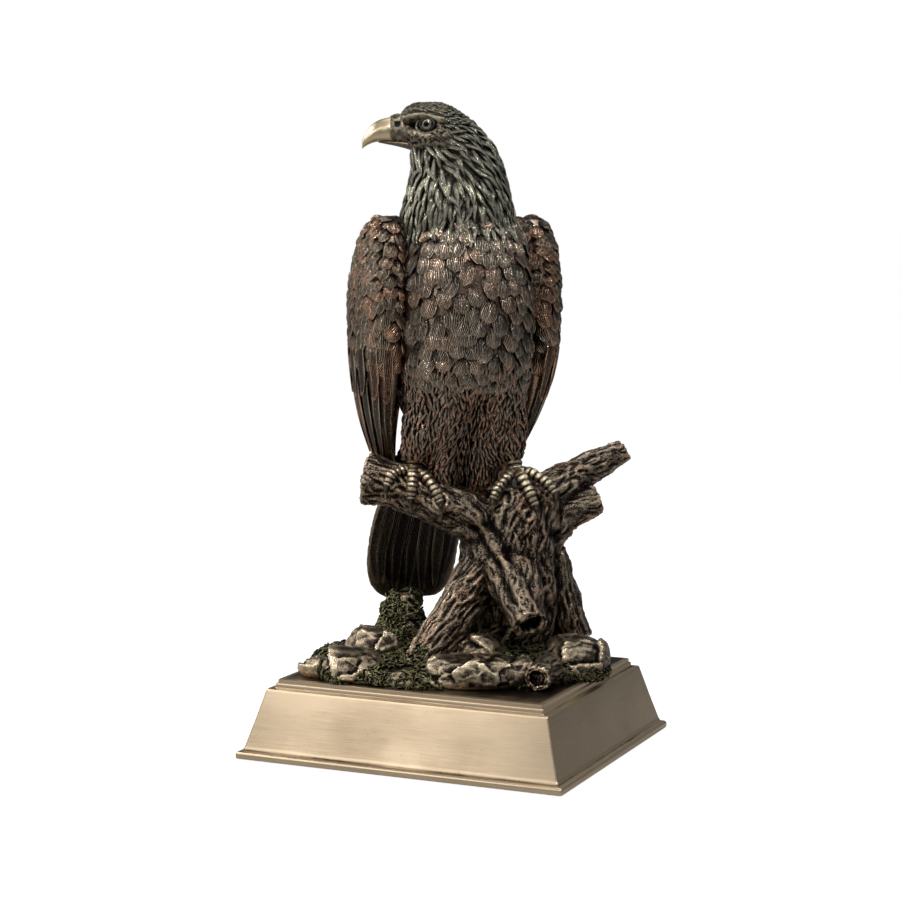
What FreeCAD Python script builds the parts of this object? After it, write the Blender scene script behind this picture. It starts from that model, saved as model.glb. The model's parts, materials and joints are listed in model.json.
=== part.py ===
"""Cast bronze eagle statuette, perched on a stump over mossy rockwork and bolted to a hollow stepped plinth.

The document is parametric: every size is a cell of the Dimensions sheet, and each sub-part is an object
bound to those cells.  Row frame: origin at the middle of the underside, +X along the plinth's wide face,
+Z up, millimetres.  The rockwork is turned on the plinth by rockwork_yaw, and the eagle by eagle_yaw.
"""
import FreeCAD, Part

import os

import Sketcher
from FreeCAD import Placement, Rotation, Vector

# ------------------------------------------------------------------------------------ driving sizes

SIZES = {
    # plinth
    "plinth_width": 165.0,
    "plinth_depth": 145.0,
    "felt_thickness": 1.2,
    "felt_recess": 0.6,
    "rim_height": 3.8,
    "slope_height": 28.7,
    "slab_height": 4.2,
    "slope_foot_inset": 2.9,
    "slope_top_inset": 11.1,
    "slab_inset": 14.6,
    "wall": 3.5,
    "deck_thickness": 5.0,
    "corner_fillet": 1.0,
    "edge_fillet": 0.5,
    "board_thickness": 3.0,
    "board_clearance": 0.3,
    "board_ledge": 3.0,
    "boss_radius": 5.0,
    "screw_radius": 1.5,
    "screw_length": 12.0,
    "screw_head_radius": 3.0,
    "screw_head_height": 1.6,
    "fit_clearance": 0.05,
    # studs that hold the rockwork and stump down
    "stud_radius": 2.5,
    "stud_rise": 34.0,
    "stud_drop": 9.0,
    "stud_front_x": 27.0,
    "stud_front_y": 7.0,
    "stud_back_x": -29.0,
    "stud_back_y": 14.0,
    "stud_back_rise": 22.0,
    "washer_radius": 6.0,
    "washer_thickness": 1.2,
    "nut_radius": 4.6,
    "nut_height": 4.0,
    # figure
    "rockwork_yaw": 24.0,
    "eagle_yaw": 42.0,
    "eagle_shift": 2.5,
    "perch_height": 95.0,
    "pin_radius": 1.2,
    "dowel_radius": 2.0,
    "neck_dowel_radius": 3.0,
    "eye_radius": 2.7,
    "eye_spacing": 23.0,
    "torso_wall": 4.5,
    "root_hollow_radius": 5.2,
    "root_hollow_depth": 6.0,
    "log_hollow_radius": 3.6,
    "log_hollow_depth": 2.5,
}

# Cross-sections of the cast pieces, bottom to top: centre x, centre y, height above the datum, half width,
# half depth.  The datum is the deck for the rockwork and the perch for the eagle.
RINGS = {
    "groundwork": [(0, 0, 0, 70, 50), (0, 0, 4, 70, 50), (4, 1, 8, 60, 43), (14, 3, 11, 42, 31)],
    "front_rock": [(8, -40, 0, 20, 10), (9, -41, 5, 25, 12), (10, -40, 11, 24, 11), (10, -39, 13.5, 18, 8)],
    "left_rock": [
        (-50, -25, 0, 13, 10),
        (-50, -26, 6, 16, 12),
        (-50, -25, 11.5, 13, 9),
        (-50, -24, 14, 7, 4),
    ],
    "left_end_rock": [(-66, -19, 0, 6, 5.5), (-67, -19, 4, 7.5, 6.5), (-66, -19, 9, 5, 4)],
    "back_left_rock": [(-41, -1, 0, 16, 12), (-41, 0, 10, 14.5, 11), (-40, 2, 18.5, 9, 7)],
    "right_rock": [
        (55, -18, 0, 14, 12),
        (56, -17, 7, 16.5, 14),
        (56, -16, 14, 14.5, 12),
        (55, -15, 18, 9, 7),
    ],
    "arch_rock": [(9, -22, 2, 11, 7), (10, -22, 15, 10, 6), (10, -22, 19.5, 6, 3)],
    "back_rock": [(28, 36, 0, 17, 9), (28, 36, 8, 18, 10), (28, 35, 15, 11, 6)],
    "moss_hummock": [
        (-29, 12, 0, 16, 13),
        (-28, 16, 14, 12, 9.5),
        (-27, 20, 26, 9, 7),
        (-26, 22, 33, 7, 5),
    ],
    "trunk": [
        (30, 9, 0, 19, 16),
        (29, 8, 18, 18, 16),
        (27, 5, 34, 22, 19),
        (25, 2, -42, 24, 20),
        (26, 1, -27, 23.5, 19),
        (28, 1, -15, 21, 17),
        (29, 2, -6, 15, 13),
    ],
    "torso": [
        (0, 6, -1, 14, 10),
        (0, 3, 10, 21, 17),
        (0, -1, 26, 27.5, 23.5),
        (0, -4, 46, 31.5, 28.5),
        (0, -5, 68, 32.5, 30),
        (0, -5, 88, 32, 29.5),
        (0, -4, 106, 29.5, 26.5),
        (0, -3, 117, 25, 22),
        (0, -3, 122, 18, 15),
    ],
    "right_thigh": [(-21.5, 3, 7, 6.5, 6.5), (-20, -1, 16, 10.5, 10.5), (-16.5, -4, 32, 13, 12.5)],
    "left_thigh": [(22.5, -4, 7, 6.5, 6.5), (20, -5, 16, 10.5, 10.5), (16.5, -6, 32, 13, 12.5)],
    "head": [
        (0.5, -3, 113, 24.5, 20.5),
        (0.3, -3, 119, 27.2, 23.5),
        (0.2, -4, 127, 25.8, 22.5),
        (0.2, -4, 135, 23.8, 20.5),
        (-0.9, -5, 149, 20.8, 17),
        (-5.1, -6, 158, 20.2, 15),
        (-10, -6, 166, 17.6, 13.2),
        (-13, -6, 172, 12.2, 9.8),
        (-13.2, -6, 175.3, 6.4, 5),
    ],
    "tail": [
        (-11, 49, -68, 13, 3.2),
        (-12, 47.5, -61, 21, 3.7),
        (-12, 43, -43, 24.5, 4.2),
        (-10, 38, -23, 24, 5),
        (-7, 31, -3, 20.5, 6),
        (-3, 25, 17, 16, 7),
        (-1, 22, 30, 11, 5),
    ],
}

# The folded wing on the eagle's left: out from the middle, back, height, half thickness, half depth.
WING_RINGS = [
    (28, 31, -12, 3.6, 9),
    (31, 27, 8, 5, 14),
    (34.5, 22, 25, 8, 18.5),
    (36.5, 16, 46, 11, 23),
    (37.5, 13, 70, 12.5, 25),
    (37.5, 11, 94, 12.3, 23),
    (36, 8, 112, 10.5, 17),
    (35, 6, 119, 8, 12),
    (34.5, 5, 122, 4.5, 7),
]

# Pieces of the tree whose sections, from this number up, are measured from the perch instead of the deck.
PERCH_FROM = {"trunk": 3, "left_limb": 0, "right_branch": 0, "branch_stub": 0}

# Limbs, roots, beak and toes: tapered rods through x, y, height above the datum, radius.
RODS = {
    "left_limb": [
        (16, -2, -26, 14),
        (0, -5, -17.5, 11.5),
        (-14, -5, -12, 10.5),
        (-26, -3, -7.5, 10.5),
        (-35, -1.5, -4.2, 11.2),
        (-44, 0, -3, 12.4),
    ],
    "right_branch": [
        (34, 5, -21, 14),
        (44, 11, -11.5, 11.5),
        (56, 18, -5, 9.5),
        (69, 25, 1.5, 7.5),
        (82, 30, 7.5, 5.8),
    ],
    "branch_stub": [(40, 6, -29, 13), (52, 10, -21, 9.5), (61, 13, -17, 8.2), (68, 15, -15.3, 7.6)],
    "left_root": [
        (12, -3, 49, 12),
        (3, -10, 35, 10.5),
        (-5, -16, 24, 9.8),
        (-12, -20, 14, 9.6),
        (-17, -24, 4, 10),
    ],
    "front_root": [(22, -5, 54, 14), (28, -15, 44, 12.5), (31.5, -24, 35, 10.4), (34.5, -33, 27.4, 8.8)],
    "right_root": [(41, 8, 54, 12), (47.5, 10, 38, 10), (53, 12, 24, 9), (58, 14, 11, 8.6)],
    "back_root": [(20, 14, 43, 12), (12, 25, 27, 10), (5, 34, 14, 8), (1, 40, 5, 6)],
    "small_log": [(44, -33, 9, 6), (40, -43, 7, 6.5), (36.5, -53, 6.2, 6)],
    "upper_beak": [
        (-24, -6, 161, 6.8),
        (-31, -6, 161.8, 6.4),
        (-37.5, -6, 160.4, 5),
        (-42.5, -6, 157.6, 3.2),
        (-45, -6, 154, 1),
    ],
    "lower_beak": [
        (-22, -6, 154.8, 4.2),
        (-30, -6, 154.6, 3.4),
        (-36, -6, 154.6, 2.4),
        (-40.5, -6, 154.8, 1.2),
    ],
}

# Feet, as rods through x, y, height above the perch, radius, both in the rockwork's turned frame.
FEET = {
    "right_foot": [
        [(-20, -3.5, 14, 3.9), (-20.3, -5.2, 8, 3.5), (-20.5, -6.5, 3, 4)],
        [
            (-20.5, -6.5, 2.5, 3.2), (-26, -10, 2.5, 3), (-31, -13, 0.5, 2.8),
            (-33.6, -15, -5, 2.2), (-34, -14.4, -11, 0.7),
        ],
        [
            (-20.5, -6.5, 2.5, 3.2), (-21, -12.5, 0.5, 3), (-21.5, -16, -5, 2.8),
            (-22, -17, -11, 2.2), (-22, -16, -17, 0.7),
        ],
        [
            (-20.5, -6.5, 2.5, 3.2), (-15, -11.5, -0.5, 3), (-10.5, -15.5, -6.5, 2.8),
            (-8, -17.2, -12.5, 2.2), (-7.4, -16.6, -19, 0.7),
        ],
        [(-20.5, -6.5, 2.5, 3.2), (-20.5, 1, 3, 3), (-20.5, 7, -0.5, 2.6), (-20.5, 9.5, -6, 0.8)],
    ],
    "left_foot": [
        [(26.5, 3, 13, 3.9), (27, 0.5, 7, 3.5), (27.5, -2, 1.5, 4)],
        [
            (27.5, -2, 1.5, 3.2), (23.5, -8.5, -1, 3), (19, -13.5, -5.5, 2.7),
            (16.5, -16, -11, 2.2), (16.8, -16, -16.5, 0.7),
        ],
        [
            (27.5, -2, 1.5, 3.2), (30.5, -10.5, -1, 3), (34, -15.5, -7.5, 2.8),
            (37, -17.5, -14, 2.2), (38.5, -17, -20, 0.7),
        ],
        [
            (27.5, -2, 1.5, 3.2), (35, -5.5, 0.5, 3), (42, -9, -3.5, 2.8),
            (46.5, -11, -9, 2.2), (47.5, -11.6, -15.5, 0.7),
        ],
        [(27.5, -2, 1.5, 3.2), (28.5, 8, 0.5, 3), (30, 14, -4, 2.6), (30.5, 16, -9.5, 0.8)],
    ],
}

# Steel pins and dowels hidden in the castings: x, y, height above the perch of the low end, then the length.
FOOT_PINS = {"right": (-20.2, -5, -12), "left": (27.2, 0.2, -12)}
FOOT_PIN_LENGTH = 23.0
WING_DOWEL_HEIGHTS = (52.0, 92.0)
WING_DOWEL_REACH = (24.0, 42.0)
WING_DOWEL_BACK = 6.0
NECK_DOWEL = (-1.0, -4.0, 109.0, 27.0)
TAIL_DOWEL = (-3.0, 11.5, 9.0, 16.0)
SCREW_INSET = 9.0

HOLLOWS = {"small_log": "log_hollow", "front_root": "root_hollow"}

TORSO_CORE = (2, 6)
EYE_CENTRE = (-13.6, -6.0, 164.8)

ROCKS = (
    "front_rock",
    "left_rock",
    "left_end_rock",
    "back_left_rock",
    "right_rock",
    "arch_rock",
    "back_rock",
)

PART_FOLDER = "parts"
SMALLEST_CHIP = 40.0

doc = FreeCAD.newDocument("statuette")
sheet = doc.addObject("Spreadsheet::Sheet", "Dimensions")
XY_PLANE = "XY_Plane"


# ---------------------------------------------------------------------------------------- the sheet

def fill_sheet():
    """Put every driving size and every section of the cast pieces into the sheet, one aliased cell each."""
    cells = dict(SIZES)
    for piece, rows in list(RINGS.items()) + [("wing", WING_RINGS)]:
        for number, row in enumerate(rows):
            for word, value in zip(("across", "back", "rise", "half_width", "half_depth"), row):
                cells[f"{piece}_{word}_{number}"] = value
    for piece, rows in RODS.items():
        for number, row in enumerate(rows):
            for word, value in zip(("across", "back", "rise", "radius"), row):
                cells[f"{piece}_{word}_{number}"] = value
    for foot, toes in FEET.items():
        for toe, rows in enumerate(toes):
            for number, row in enumerate(rows):
                for word, value in zip(("across", "back", "rise", "radius"), row):
                    cells[f"{foot}_{toe}_{word}_{number}"] = value
    for line, (alias, value) in enumerate(cells.items(), start=1):
        sheet.set(f"A{line}", alias)
        sheet.set(f"B{line}", str(value))
        sheet.setAlias(f"B{line}", alias)
    line = len(cells) + 1
    formulas = {
        "plinth_bottom": "=felt_thickness - felt_recess",
        "rim_top": "=plinth_bottom + rim_height",
        "slope_top": "=rim_top + slope_height",
        "deck": "=slope_top + slab_height",
        "deck_underside": "=deck - deck_thickness",
        "board_bottom": "=felt_thickness",
        "board_top": "=board_bottom + board_thickness",
        "perch": "=deck + perch_height",
    }
    for offset, (alias, formula) in enumerate(formulas.items()):
        sheet.set(f"A{line + offset}", alias)
        sheet.set(f"B{line + offset}", formula)
        sheet.setAlias(f"B{line + offset}", alias)
    doc.recompute()


def size(alias):
    """The value of a cell of the sheet."""
    return float(getattr(sheet, alias))


def bind(thing, **expressions):
    """Bind properties of an object to the sheet; Placement__Base__z stands for Placement.Base.z."""
    for name, formula in expressions.items():
        thing.setExpression(name.replace("__", "."), formula)


def cell(alias):
    return f"Dimensions.{alias}"


# --------------------------------------------------------------------------------- lofted castings

def stand(thing, yaw, datum=None, shift=None):
    """Turn a piece about +Z by a yaw cell and lift it to a datum cell."""
    thing.Placement = Placement(Vector(0, 0, 0), Rotation(Vector(0, 0, 1), 0))
    bind(thing, Placement__Rotation__Angle=f"{cell(yaw)} * 1 deg")
    if datum:
        bind(thing, Placement__Base__z=cell(datum))
    if shift:
        bind(thing, Placement__Base__x=cell(shift))
    doc.recompute()
    return thing


def height_of(cells, number):
    """The formula of a section's height, which on the tree may count from the perch."""
    rise = cell(f"{cells}_rise_{number}")
    return f"{rise} + {cell('perch_height')}" if number >= PERCH_FROM.get(cells, number + 1) else rise


def ring_loft(name, rows, cells, datum, yaw, shift=None, side=1, deep=False, core=None):
    """A casting lofted through level elliptical sections whose centres and half sizes are cells.

    deep turns the ellipses so that their long way runs front to back.  core gives the first and last
    section of a hollow, whose sections are smaller by the torso's wall.
    """
    rings = []
    wall = cell("torso_wall") if core else "0"
    first, last = core or (0, len(rows) - 1)
    for number in range(first, last + 1):
        ring = doc.addObject("Part::Ellipse", f"{name}_ring_{number}")
        wide, thin = ("half_depth", "half_width") if deep else ("half_width", "half_depth")
        long_way = cell(f"{cells}_{wide}_{number}")
        short_way = cell(f"{cells}_{thin}_{number}")
        ring.Placement = Placement(Vector(0, 0, 0), Rotation(Vector(0, 0, 1), 90 if deep else 0))
        bind(
            ring,
            MajorRadius=f"max({long_way}; {short_way} + 0.01) - {wall}",
            MinorRadius=f"{short_way} - {wall}",
            Placement__Base__x=f"{side} * {cell(f'{cells}_across_{number}')}",
            Placement__Base__y=cell(f"{cells}_back_{number}"),
            Placement__Base__z=height_of(cells, number),
        )
        rings.append(ring)
    loft = doc.addObject("Part::Loft", f"{name}_loft")
    loft.Sections = rings
    loft.Solid = True
    doc.recompute()
    return stand(loft, yaw, datum, shift)


def rod_loft(name, rows, cells, datum, yaw, shift=None):
    """A tapered rod lofted through circles that face along its path."""
    points = [Vector(*row[:3]) for row in rows]
    circles = []
    for number, point in enumerate(points):
        before = points[max(number - 1, 0)]
        after = points[min(number + 1, len(points) - 1)]
        circle = doc.addObject("Part::Circle", f"{name}_ring_{number}")
        circle.Placement = Placement(point, Rotation(Vector(0, 0, 1), after - before))
        bind(
            circle,
            Radius=cell(f"{cells}_radius_{number}"),
            Placement__Base__x=cell(f"{cells}_across_{number}"),
            Placement__Base__y=cell(f"{cells}_back_{number}"),
            Placement__Base__z=height_of(cells, number),
        )
        circles.append(circle)
    loft = doc.addObject("Part::Loft", f"{name}_loft")
    loft.Sections = circles
    loft.Solid = True
    doc.recompute()
    return stand(loft, yaw, datum, shift)


def round_bar(name, across, back, rise, length, radius, datum, yaw, shift=None, direction=(0, 0, 1)):
    """A cylinder of a radius formula at a place in the turned frame of a yaw cell."""
    bar = doc.addObject("Part::Cylinder", name)
    turned = Rotation(Vector(0, 0, 1), size(yaw))
    origin = Vector(size(shift) if shift else 0, 0, size(datum))
    place = turned.multVec(Vector(across, back, rise)) + origin
    bar.Placement = Placement(place, turned.multiply(Rotation(Vector(0, 0, 1), Vector(*direction))))
    bind(bar, Radius=radius)
    bar.Height = length
    bind(bar, Placement__Base__z=f"{cell(datum)} + {rise}")
    return bar


def fuse(name, pieces):
    joined = doc.addObject("Part::MultiFuse", name)
    joined.Shapes = pieces
    doc.recompute()
    return joined


def meets(one, other):
    """True if two objects share more than a sliver of volume."""
    if not one.Shape.BoundBox.intersect(other.Shape.BoundBox):
        return False
    return one.Shape.common(other.Shape).Volume > 1e-3


def seat(piece, others):
    """Take out of a piece what its neighbours fill, so that they meet face to face."""
    for other in others:
        if meets(piece, other):
            cut = doc.addObject("Part::Cut", f"{piece.Name}_cut")
            cut.Base = piece
            cut.Tool = other
            doc.recompute()
            piece = cut
    return piece


# -------------------------------------------------------------------------------------- the plinth

def level_sketch(body, name, height):
    """An empty sketch on the body's XY plane, lifted to a height formula."""
    plane = next(item for item in body.Origin.OriginFeatures if item.Role == XY_PLANE)
    sketch = body.newObject("Sketcher::SketchObject", name)
    sketch.AttachmentSupport = [(plane, "")]
    sketch.MapMode = "FlatFace"
    sketch.setExpression("AttachmentOffset.Base.z", height)
    return sketch


def rectangle(body, name, height, inset, clearance="0"):
    """A rectangle centred on the origin, inset from the plinth's outline by a formula."""
    sketch = level_sketch(body, name, height)
    half_x, half_y = size("plinth_width") / 2, size("plinth_depth") / 2
    corners = [(-half_x, -half_y), (half_x, -half_y), (half_x, half_y), (-half_x, half_y)]
    for start, end in zip(corners, corners[1:] + corners[:1]):
        sketch.addGeometry(Part.LineSegment(Vector(*start, 0), Vector(*end, 0)))
    for line in range(4):
        sketch.addConstraint(Sketcher.Constraint("Coincident", line, 2, (line + 1) % 4, 1))
        sketch.addConstraint(Sketcher.Constraint("Vertical" if line % 2 else "Horizontal", line))
    sketch.addConstraint(Sketcher.Constraint("Symmetric", 0, 1, 1, 2, -1, 1))
    sides = ((0, "wide", "DistanceX", "plinth_width"), (1, "deep", "DistanceY", "plinth_depth"))
    for line, word, kind, overall in sides:
        number = sketch.addConstraint(Sketcher.Constraint(kind, line, 1, line, 2, size(overall)))
        sketch.renameConstraint(number, word)
        sketch.setExpression(f"Constraints.{word}", f"{cell(overall)} - 2 * ({inset}) - 2 * ({clearance})")
    return sketch


def circles(body, name, height, centres, radius):
    """Circles of a radius formula; each centre is a pair of x and y formulas."""
    sketch = level_sketch(body, name, height)
    for number, centre in enumerate(centres):
        sketch.addGeometry(Part.Circle(Vector(1 + number, 1, 0), Vector(0, 0, 1), 1))
        at = sketch.addConstraint(Sketcher.Constraint("Radius", number, 1.0))
        sketch.renameConstraint(at, f"radius_{number}")
        sketch.setExpression(f"Constraints.radius_{number}", radius)
        for kind, word, formula in (("DistanceX", "across", centre[0]), ("DistanceY", "back", centre[1])):
            at = sketch.addConstraint(Sketcher.Constraint(kind, -1, 1, number, 3, 1.0))
            sketch.renameConstraint(at, f"{word}_{number}")
            sketch.setExpression(f"Constraints.{word}_{number}", formula)
    return sketch


def pad(body, name, sketch, length, kind="Pad", upward=False):
    """Pad or pocket a sketch by a length formula."""
    feature = body.newObject(f"PartDesign::{kind}", name)
    feature.Profile = sketch
    feature.setExpression("Length", length)
    feature.Reversed = upward
    doc.recompute()
    return feature


def loft_between(body, name, low, high, kind):
    feature = body.newObject(f"PartDesign::{kind}", name)
    feature.Profile = low
    feature.Sections = [high]
    doc.recompute()
    return feature


def round_edges(body, name, radius, chosen):
    """Fillet the edges of the body's tip that a test picks."""
    tip = body.Tip
    names = [f"Edge{number}" for number, edge in enumerate(tip.Shape.Edges, start=1) if chosen(edge)]
    fillet = body.newObject("PartDesign::Fillet", name)
    fillet.Base = (tip, names)
    bind(fillet, Radius=cell(radius))
    doc.recompute()
    return fillet


def leans(edge):
    """True for an edge that climbs, such as a plinth corner."""
    return abs(edge.Vertexes[0].Z - edge.Vertexes[-1].Z) > 1.0


def turned_formulas(across, back, yaw):
    """x and y formulas of a point given in a frame turned by a yaw cell."""
    turn = f"{cell(yaw)} * 1 deg"
    return (
        f"{across} * cos({turn}) - {back} * sin({turn})",
        f"{across} * sin({turn}) + {back} * cos({turn})",
    )


def stud_centres():
    ends = ("front", "back")
    return [turned_formulas(cell(f"stud_{end}_x"), cell(f"stud_{end}_y"), "rockwork_yaw") for end in ends]


def screw_centres():
    """The four corner screws, inset from the inside of the wall's foot."""
    reach = f"({cell('slope_foot_inset')} + {cell('wall')} + {SCREW_INSET})"
    across = f"({cell('plinth_width')} / 2 - {reach})"
    back = f"({cell('plinth_depth')} / 2 - {reach})"
    return [(f"{side_x} * {across}", f"{side_y} * {back}") for side_x in (-1, 1) for side_y in (-1, 1)]


def make_plinth():
    """The hollow plinth: foot moulding, sloped sides, stepped deck, corner bosses and stud holes."""
    body = doc.addObject("PartDesign::Body", "plinth_shell")
    outline = rectangle(body, "foot_outline", cell("plinth_bottom"), "0")
    pad(body, "foot_moulding", outline, cell("rim_height"))
    low = rectangle(body, "slope_foot", cell("rim_top"), cell("slope_foot_inset"))
    high = rectangle(body, "slope_head", cell("slope_top"), cell("slope_top_inset"))
    loft_between(body, "slope", low, high, "AdditiveLoft")
    outline = rectangle(body, "slab_outline", cell("slope_top"), cell("slab_inset"))
    pad(body, "deck_slab", outline, cell("slab_height"))
    round_edges(body, "corner_rounds", "corner_fillet", leans)
    levels = [size("rim_top"), size("slope_top"), size("deck")]
    insets = (0, size("slope_top_inset"), size("slab_inset"))
    widest = dict(zip(levels, insets))

    def outer_arris(edge):
        middle = edge.BoundBox
        if middle.ZLength > 0.01:
            return False
        level = next((z for z in levels if abs(middle.ZMin - z) < 0.01), None)
        if level is None:
            return False
        reach_x = size("plinth_width") / 2 - widest[level] - 0.01
        reach_y = size("plinth_depth") / 2 - widest[level] - 0.01
        return abs(abs(middle.Center.x) - reach_x) < 0.1 or abs(abs(middle.Center.y) - reach_y) < 0.1

    round_edges(body, "arris_rounds", "edge_fillet", outer_arris)
    inside = f"{cell('slope_foot_inset')} + {cell('wall')}"
    low = rectangle(body, "cavity_foot", cell("board_bottom"), f"{inside} + {cell('board_ledge')}")
    high = rectangle(body, "cavity_head", cell("deck_underside"), f"{cell('slab_inset')} + {cell('wall')}")
    loft_between(body, "cavity", low, high, "SubtractiveLoft")
    recess = rectangle(body, "board_recess_outline", cell("board_bottom"), inside)
    pad(body, "board_recess", recess, cell("board_thickness"), "Pocket", upward=True)
    recess = rectangle(body, "felt_recess_outline", cell("plinth_bottom"), cell("slope_foot_inset"))
    pad(body, "felt_recess", recess, cell("felt_recess"), "Pocket", upward=True)
    bosses = circles(body, "boss_outlines", cell("board_top"), screw_centres(), cell("boss_radius"))
    pad(body, "bosses", bosses, f"{cell('deck_underside')} - {cell('board_top')} + 0.5")
    radius = f"{cell('screw_radius')} + {cell('fit_clearance')}"
    pilots = circles(body, "pilot_outlines", cell("board_top"), screw_centres(), radius)
    pad(body, "pilots", pilots, cell("screw_length"), "Pocket", upward=True)
    radius = f"{cell('stud_radius')} + {cell('fit_clearance')}"
    studs = circles(body, "stud_outlines", cell("deck_underside"), stud_centres(), radius)
    pad(body, "stud_holes", studs, f"{cell('deck_thickness')} + 1", "Pocket", upward=True)
    return body


def make_board():
    """The closing board in the plinth's underside, counterbored for its screws."""
    body = doc.addObject("PartDesign::Body", "bottom_board")
    inside = f"{cell('slope_foot_inset')} + {cell('wall')}"
    outline = rectangle(body, "board_outline", cell("board_bottom"), inside, cell("board_clearance"))
    pad(body, "board", outline, cell("board_thickness"))
    radius = f"{cell('screw_radius')} + {cell('fit_clearance')}"
    holes = circles(body, "board_hole_outlines", cell("board_bottom"), screw_centres(), radius)
    pad(body, "board_holes", holes, cell("board_thickness"), "Pocket", upward=True)
    radius = f"{cell('screw_head_radius')} + {cell('fit_clearance')}"
    sinks = circles(body, "counterbore_outlines", cell("board_bottom"), screw_centres(), radius)
    pad(body, "counterbores", sinks, cell("screw_head_height"), "Pocket", upward=True)
    return body


def make_felt():
    body = doc.addObject("PartDesign::Body", "felt_pad")
    plane_height = "0 mm"
    outline = rectangle(body, "felt_outline", plane_height, cell("slope_foot_inset"), cell("fit_clearance"))
    pad(body, "felt", outline, cell("felt_thickness"))
    return body


def make_board_screws():
    """Four screws that hold the board, head down."""
    screws = []
    for number, centre in enumerate(screw_centres()):
        shank = doc.addObject("Part::Cylinder", f"screw_shank_{number}")
        head = doc.addObject("Part::Cylinder", f"screw_head_{number}")
        length = f"{cell('board_thickness')} + {cell('screw_length')} - 1"
        bind(shank, Radius=cell("screw_radius"), Height=length)
        bind(head, Radius=cell("screw_head_radius"), Height=cell("screw_head_height"))
        for bar in (shank, head):
            bind(bar, Placement__Base__x=centre[0], Placement__Base__y=centre[1])
            bind(bar, Placement__Base__z=cell("board_bottom"))
        screws.append(fuse(f"screw_{number}", [shank, head]))
    return group("board_screws", screws)


def group(name, pieces):
    """Separate solids of one kind in one node."""
    gathered = doc.addObject("Part::Compound", name)
    gathered.Links = pieces
    doc.recompute()
    return gathered


# --------------------------------------------------------------------------------------- fasteners

def stud_bar(end, word, radius, low, high):
    """A cylinder on a stud's axis between two height formulas."""
    bar = doc.addObject("Part::Cylinder", f"stud_{end}_{word}")
    across, back = turned_formulas(cell(f"stud_{end}_x"), cell(f"stud_{end}_y"), "rockwork_yaw")
    bind(
        bar,
        Radius=radius,
        Height=f"({high}) - ({low})",
        Placement__Base__x=across,
        Placement__Base__y=back,
        Placement__Base__z=low,
    )
    doc.recompute()
    return bar


def make_studs():
    """Rods from the castings down through the deck, with their washers, nuts and the bores they need."""
    studs, bores, washers, nuts = [], [], [], []
    under = cell("deck_underside")
    clear = cell("fit_clearance")
    radius = cell("stud_radius")
    for end, rise in (("front", cell("stud_rise")), ("back", cell("stud_back_rise"))):
        tip = f"{cell('deck')} + {rise}"
        foot = f"{under} - {cell('stud_drop')}"
        washer_low = f"{under} - {cell('washer_thickness')}"
        nut_low = f"{washer_low} - {cell('nut_height')}"
        studs.append(stud_bar(end, "rod", radius, foot, tip))
        bores.append(stud_bar(end, "bore", f"{radius} + {clear}", foot, f"{tip} + 0.5"))
        rough = stud_bar(end, "washer_blank", cell("washer_radius"), washer_low, under)
        washers.append(cut_from(rough, bores[-1]))
        blank = doc.addObject("Part::Prism", f"nut_{end}_blank")
        across, back = turned_formulas(cell(f"stud_{end}_x"), cell(f"stud_{end}_y"), "rockwork_yaw")
        blank.Polygon = 6
        bind(
            blank,
            Circumradius=cell("nut_radius"),
            Height=cell("nut_height"),
            Placement__Base__x=across,
            Placement__Base__y=back,
            Placement__Base__z=nut_low,
        )
        doc.recompute()
        nuts.append(cut_from(blank, bores[-1]))
    named = {
        "mounting_studs": group("mounting_studs", studs),
        "stud_washers": group("stud_washers", washers),
        "stud_nuts": group("stud_nuts", nuts),
    }
    return named, bores


def cut_from(piece, tool):
    cut = doc.addObject("Part::Cut", f"{piece.Name}_cut")
    cut.Base = piece
    cut.Tool = tool
    doc.recompute()
    return cut


def pin_and_bore(name, across, back, rise, length, radius, yaw, shift=None, direction=(0, 0, 1)):
    """A steel pin, and the slightly wider and longer bore that it is glued into."""
    pin = round_bar(f"{name}_pin", across, back, rise, length, cell(radius), "perch", yaw, shift, direction)
    way = Vector(*direction)
    slack = 0.4
    start = Vector(across, back, rise) - way * slack
    wide = f"{cell(radius)} + {cell('fit_clearance')}"
    long = length + 2 * slack
    bore = round_bar(f"{name}_bore", start.x, start.y, start.z, long, wide, "perch", yaw, shift, direction)
    doc.recompute()
    return pin, bore


# ------------------------------------------------------------------------------------ the castings

def make_feet():
    """Each foot: shank, three front toes and a hind toe with their talons, fused into one casting."""
    feet = {}
    for foot, toes in FEET.items():
        rods = [
            rod_loft(f"{foot}_{toe}", rows, f"{foot}_{toe}", "perch", "rockwork_yaw")
            for toe, rows in enumerate(toes)
        ]
        feet[foot] = fuse(foot, rods)
    return feet


def make_torso():
    """Breast, belly and back with the two feathered thighs."""
    body = ring_loft("torso", RINGS["torso"], "torso", "perch", "eagle_yaw", "eagle_shift")
    thighs = [
        ring_loft(name, RINGS[name], name, "perch", "eagle_yaw", "eagle_shift")
        for name in ("right_thigh", "left_thigh")
    ]
    return fuse("torso_cast", [body] + thighs)


def make_core():
    """The hollow of the torso, one wall inside its skin."""
    place = ("perch", "eagle_yaw", "eagle_shift")
    return ring_loft("torso_core", RINGS["torso"], "torso", *place, core=TORSO_CORE)


def end_hollow(name):
    """The rotted-out middle of a sawn end: a bar along the last stretch of the rod."""
    before, last = (Vector(*row[:3]) for row in RODS[name][-2:])
    inward = (before - last).normalize()
    start = last - inward
    word = HOLLOWS[name]
    radius = cell(f"{word}_radius")
    bar = round_bar(f"{name}_hollow", *start, 1, radius, "deck", "rockwork_yaw", direction=tuple(inward))
    bind(bar, Height=f"{cell(f'{word}_depth')} + 1")
    doc.recompute()
    return bar


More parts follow.
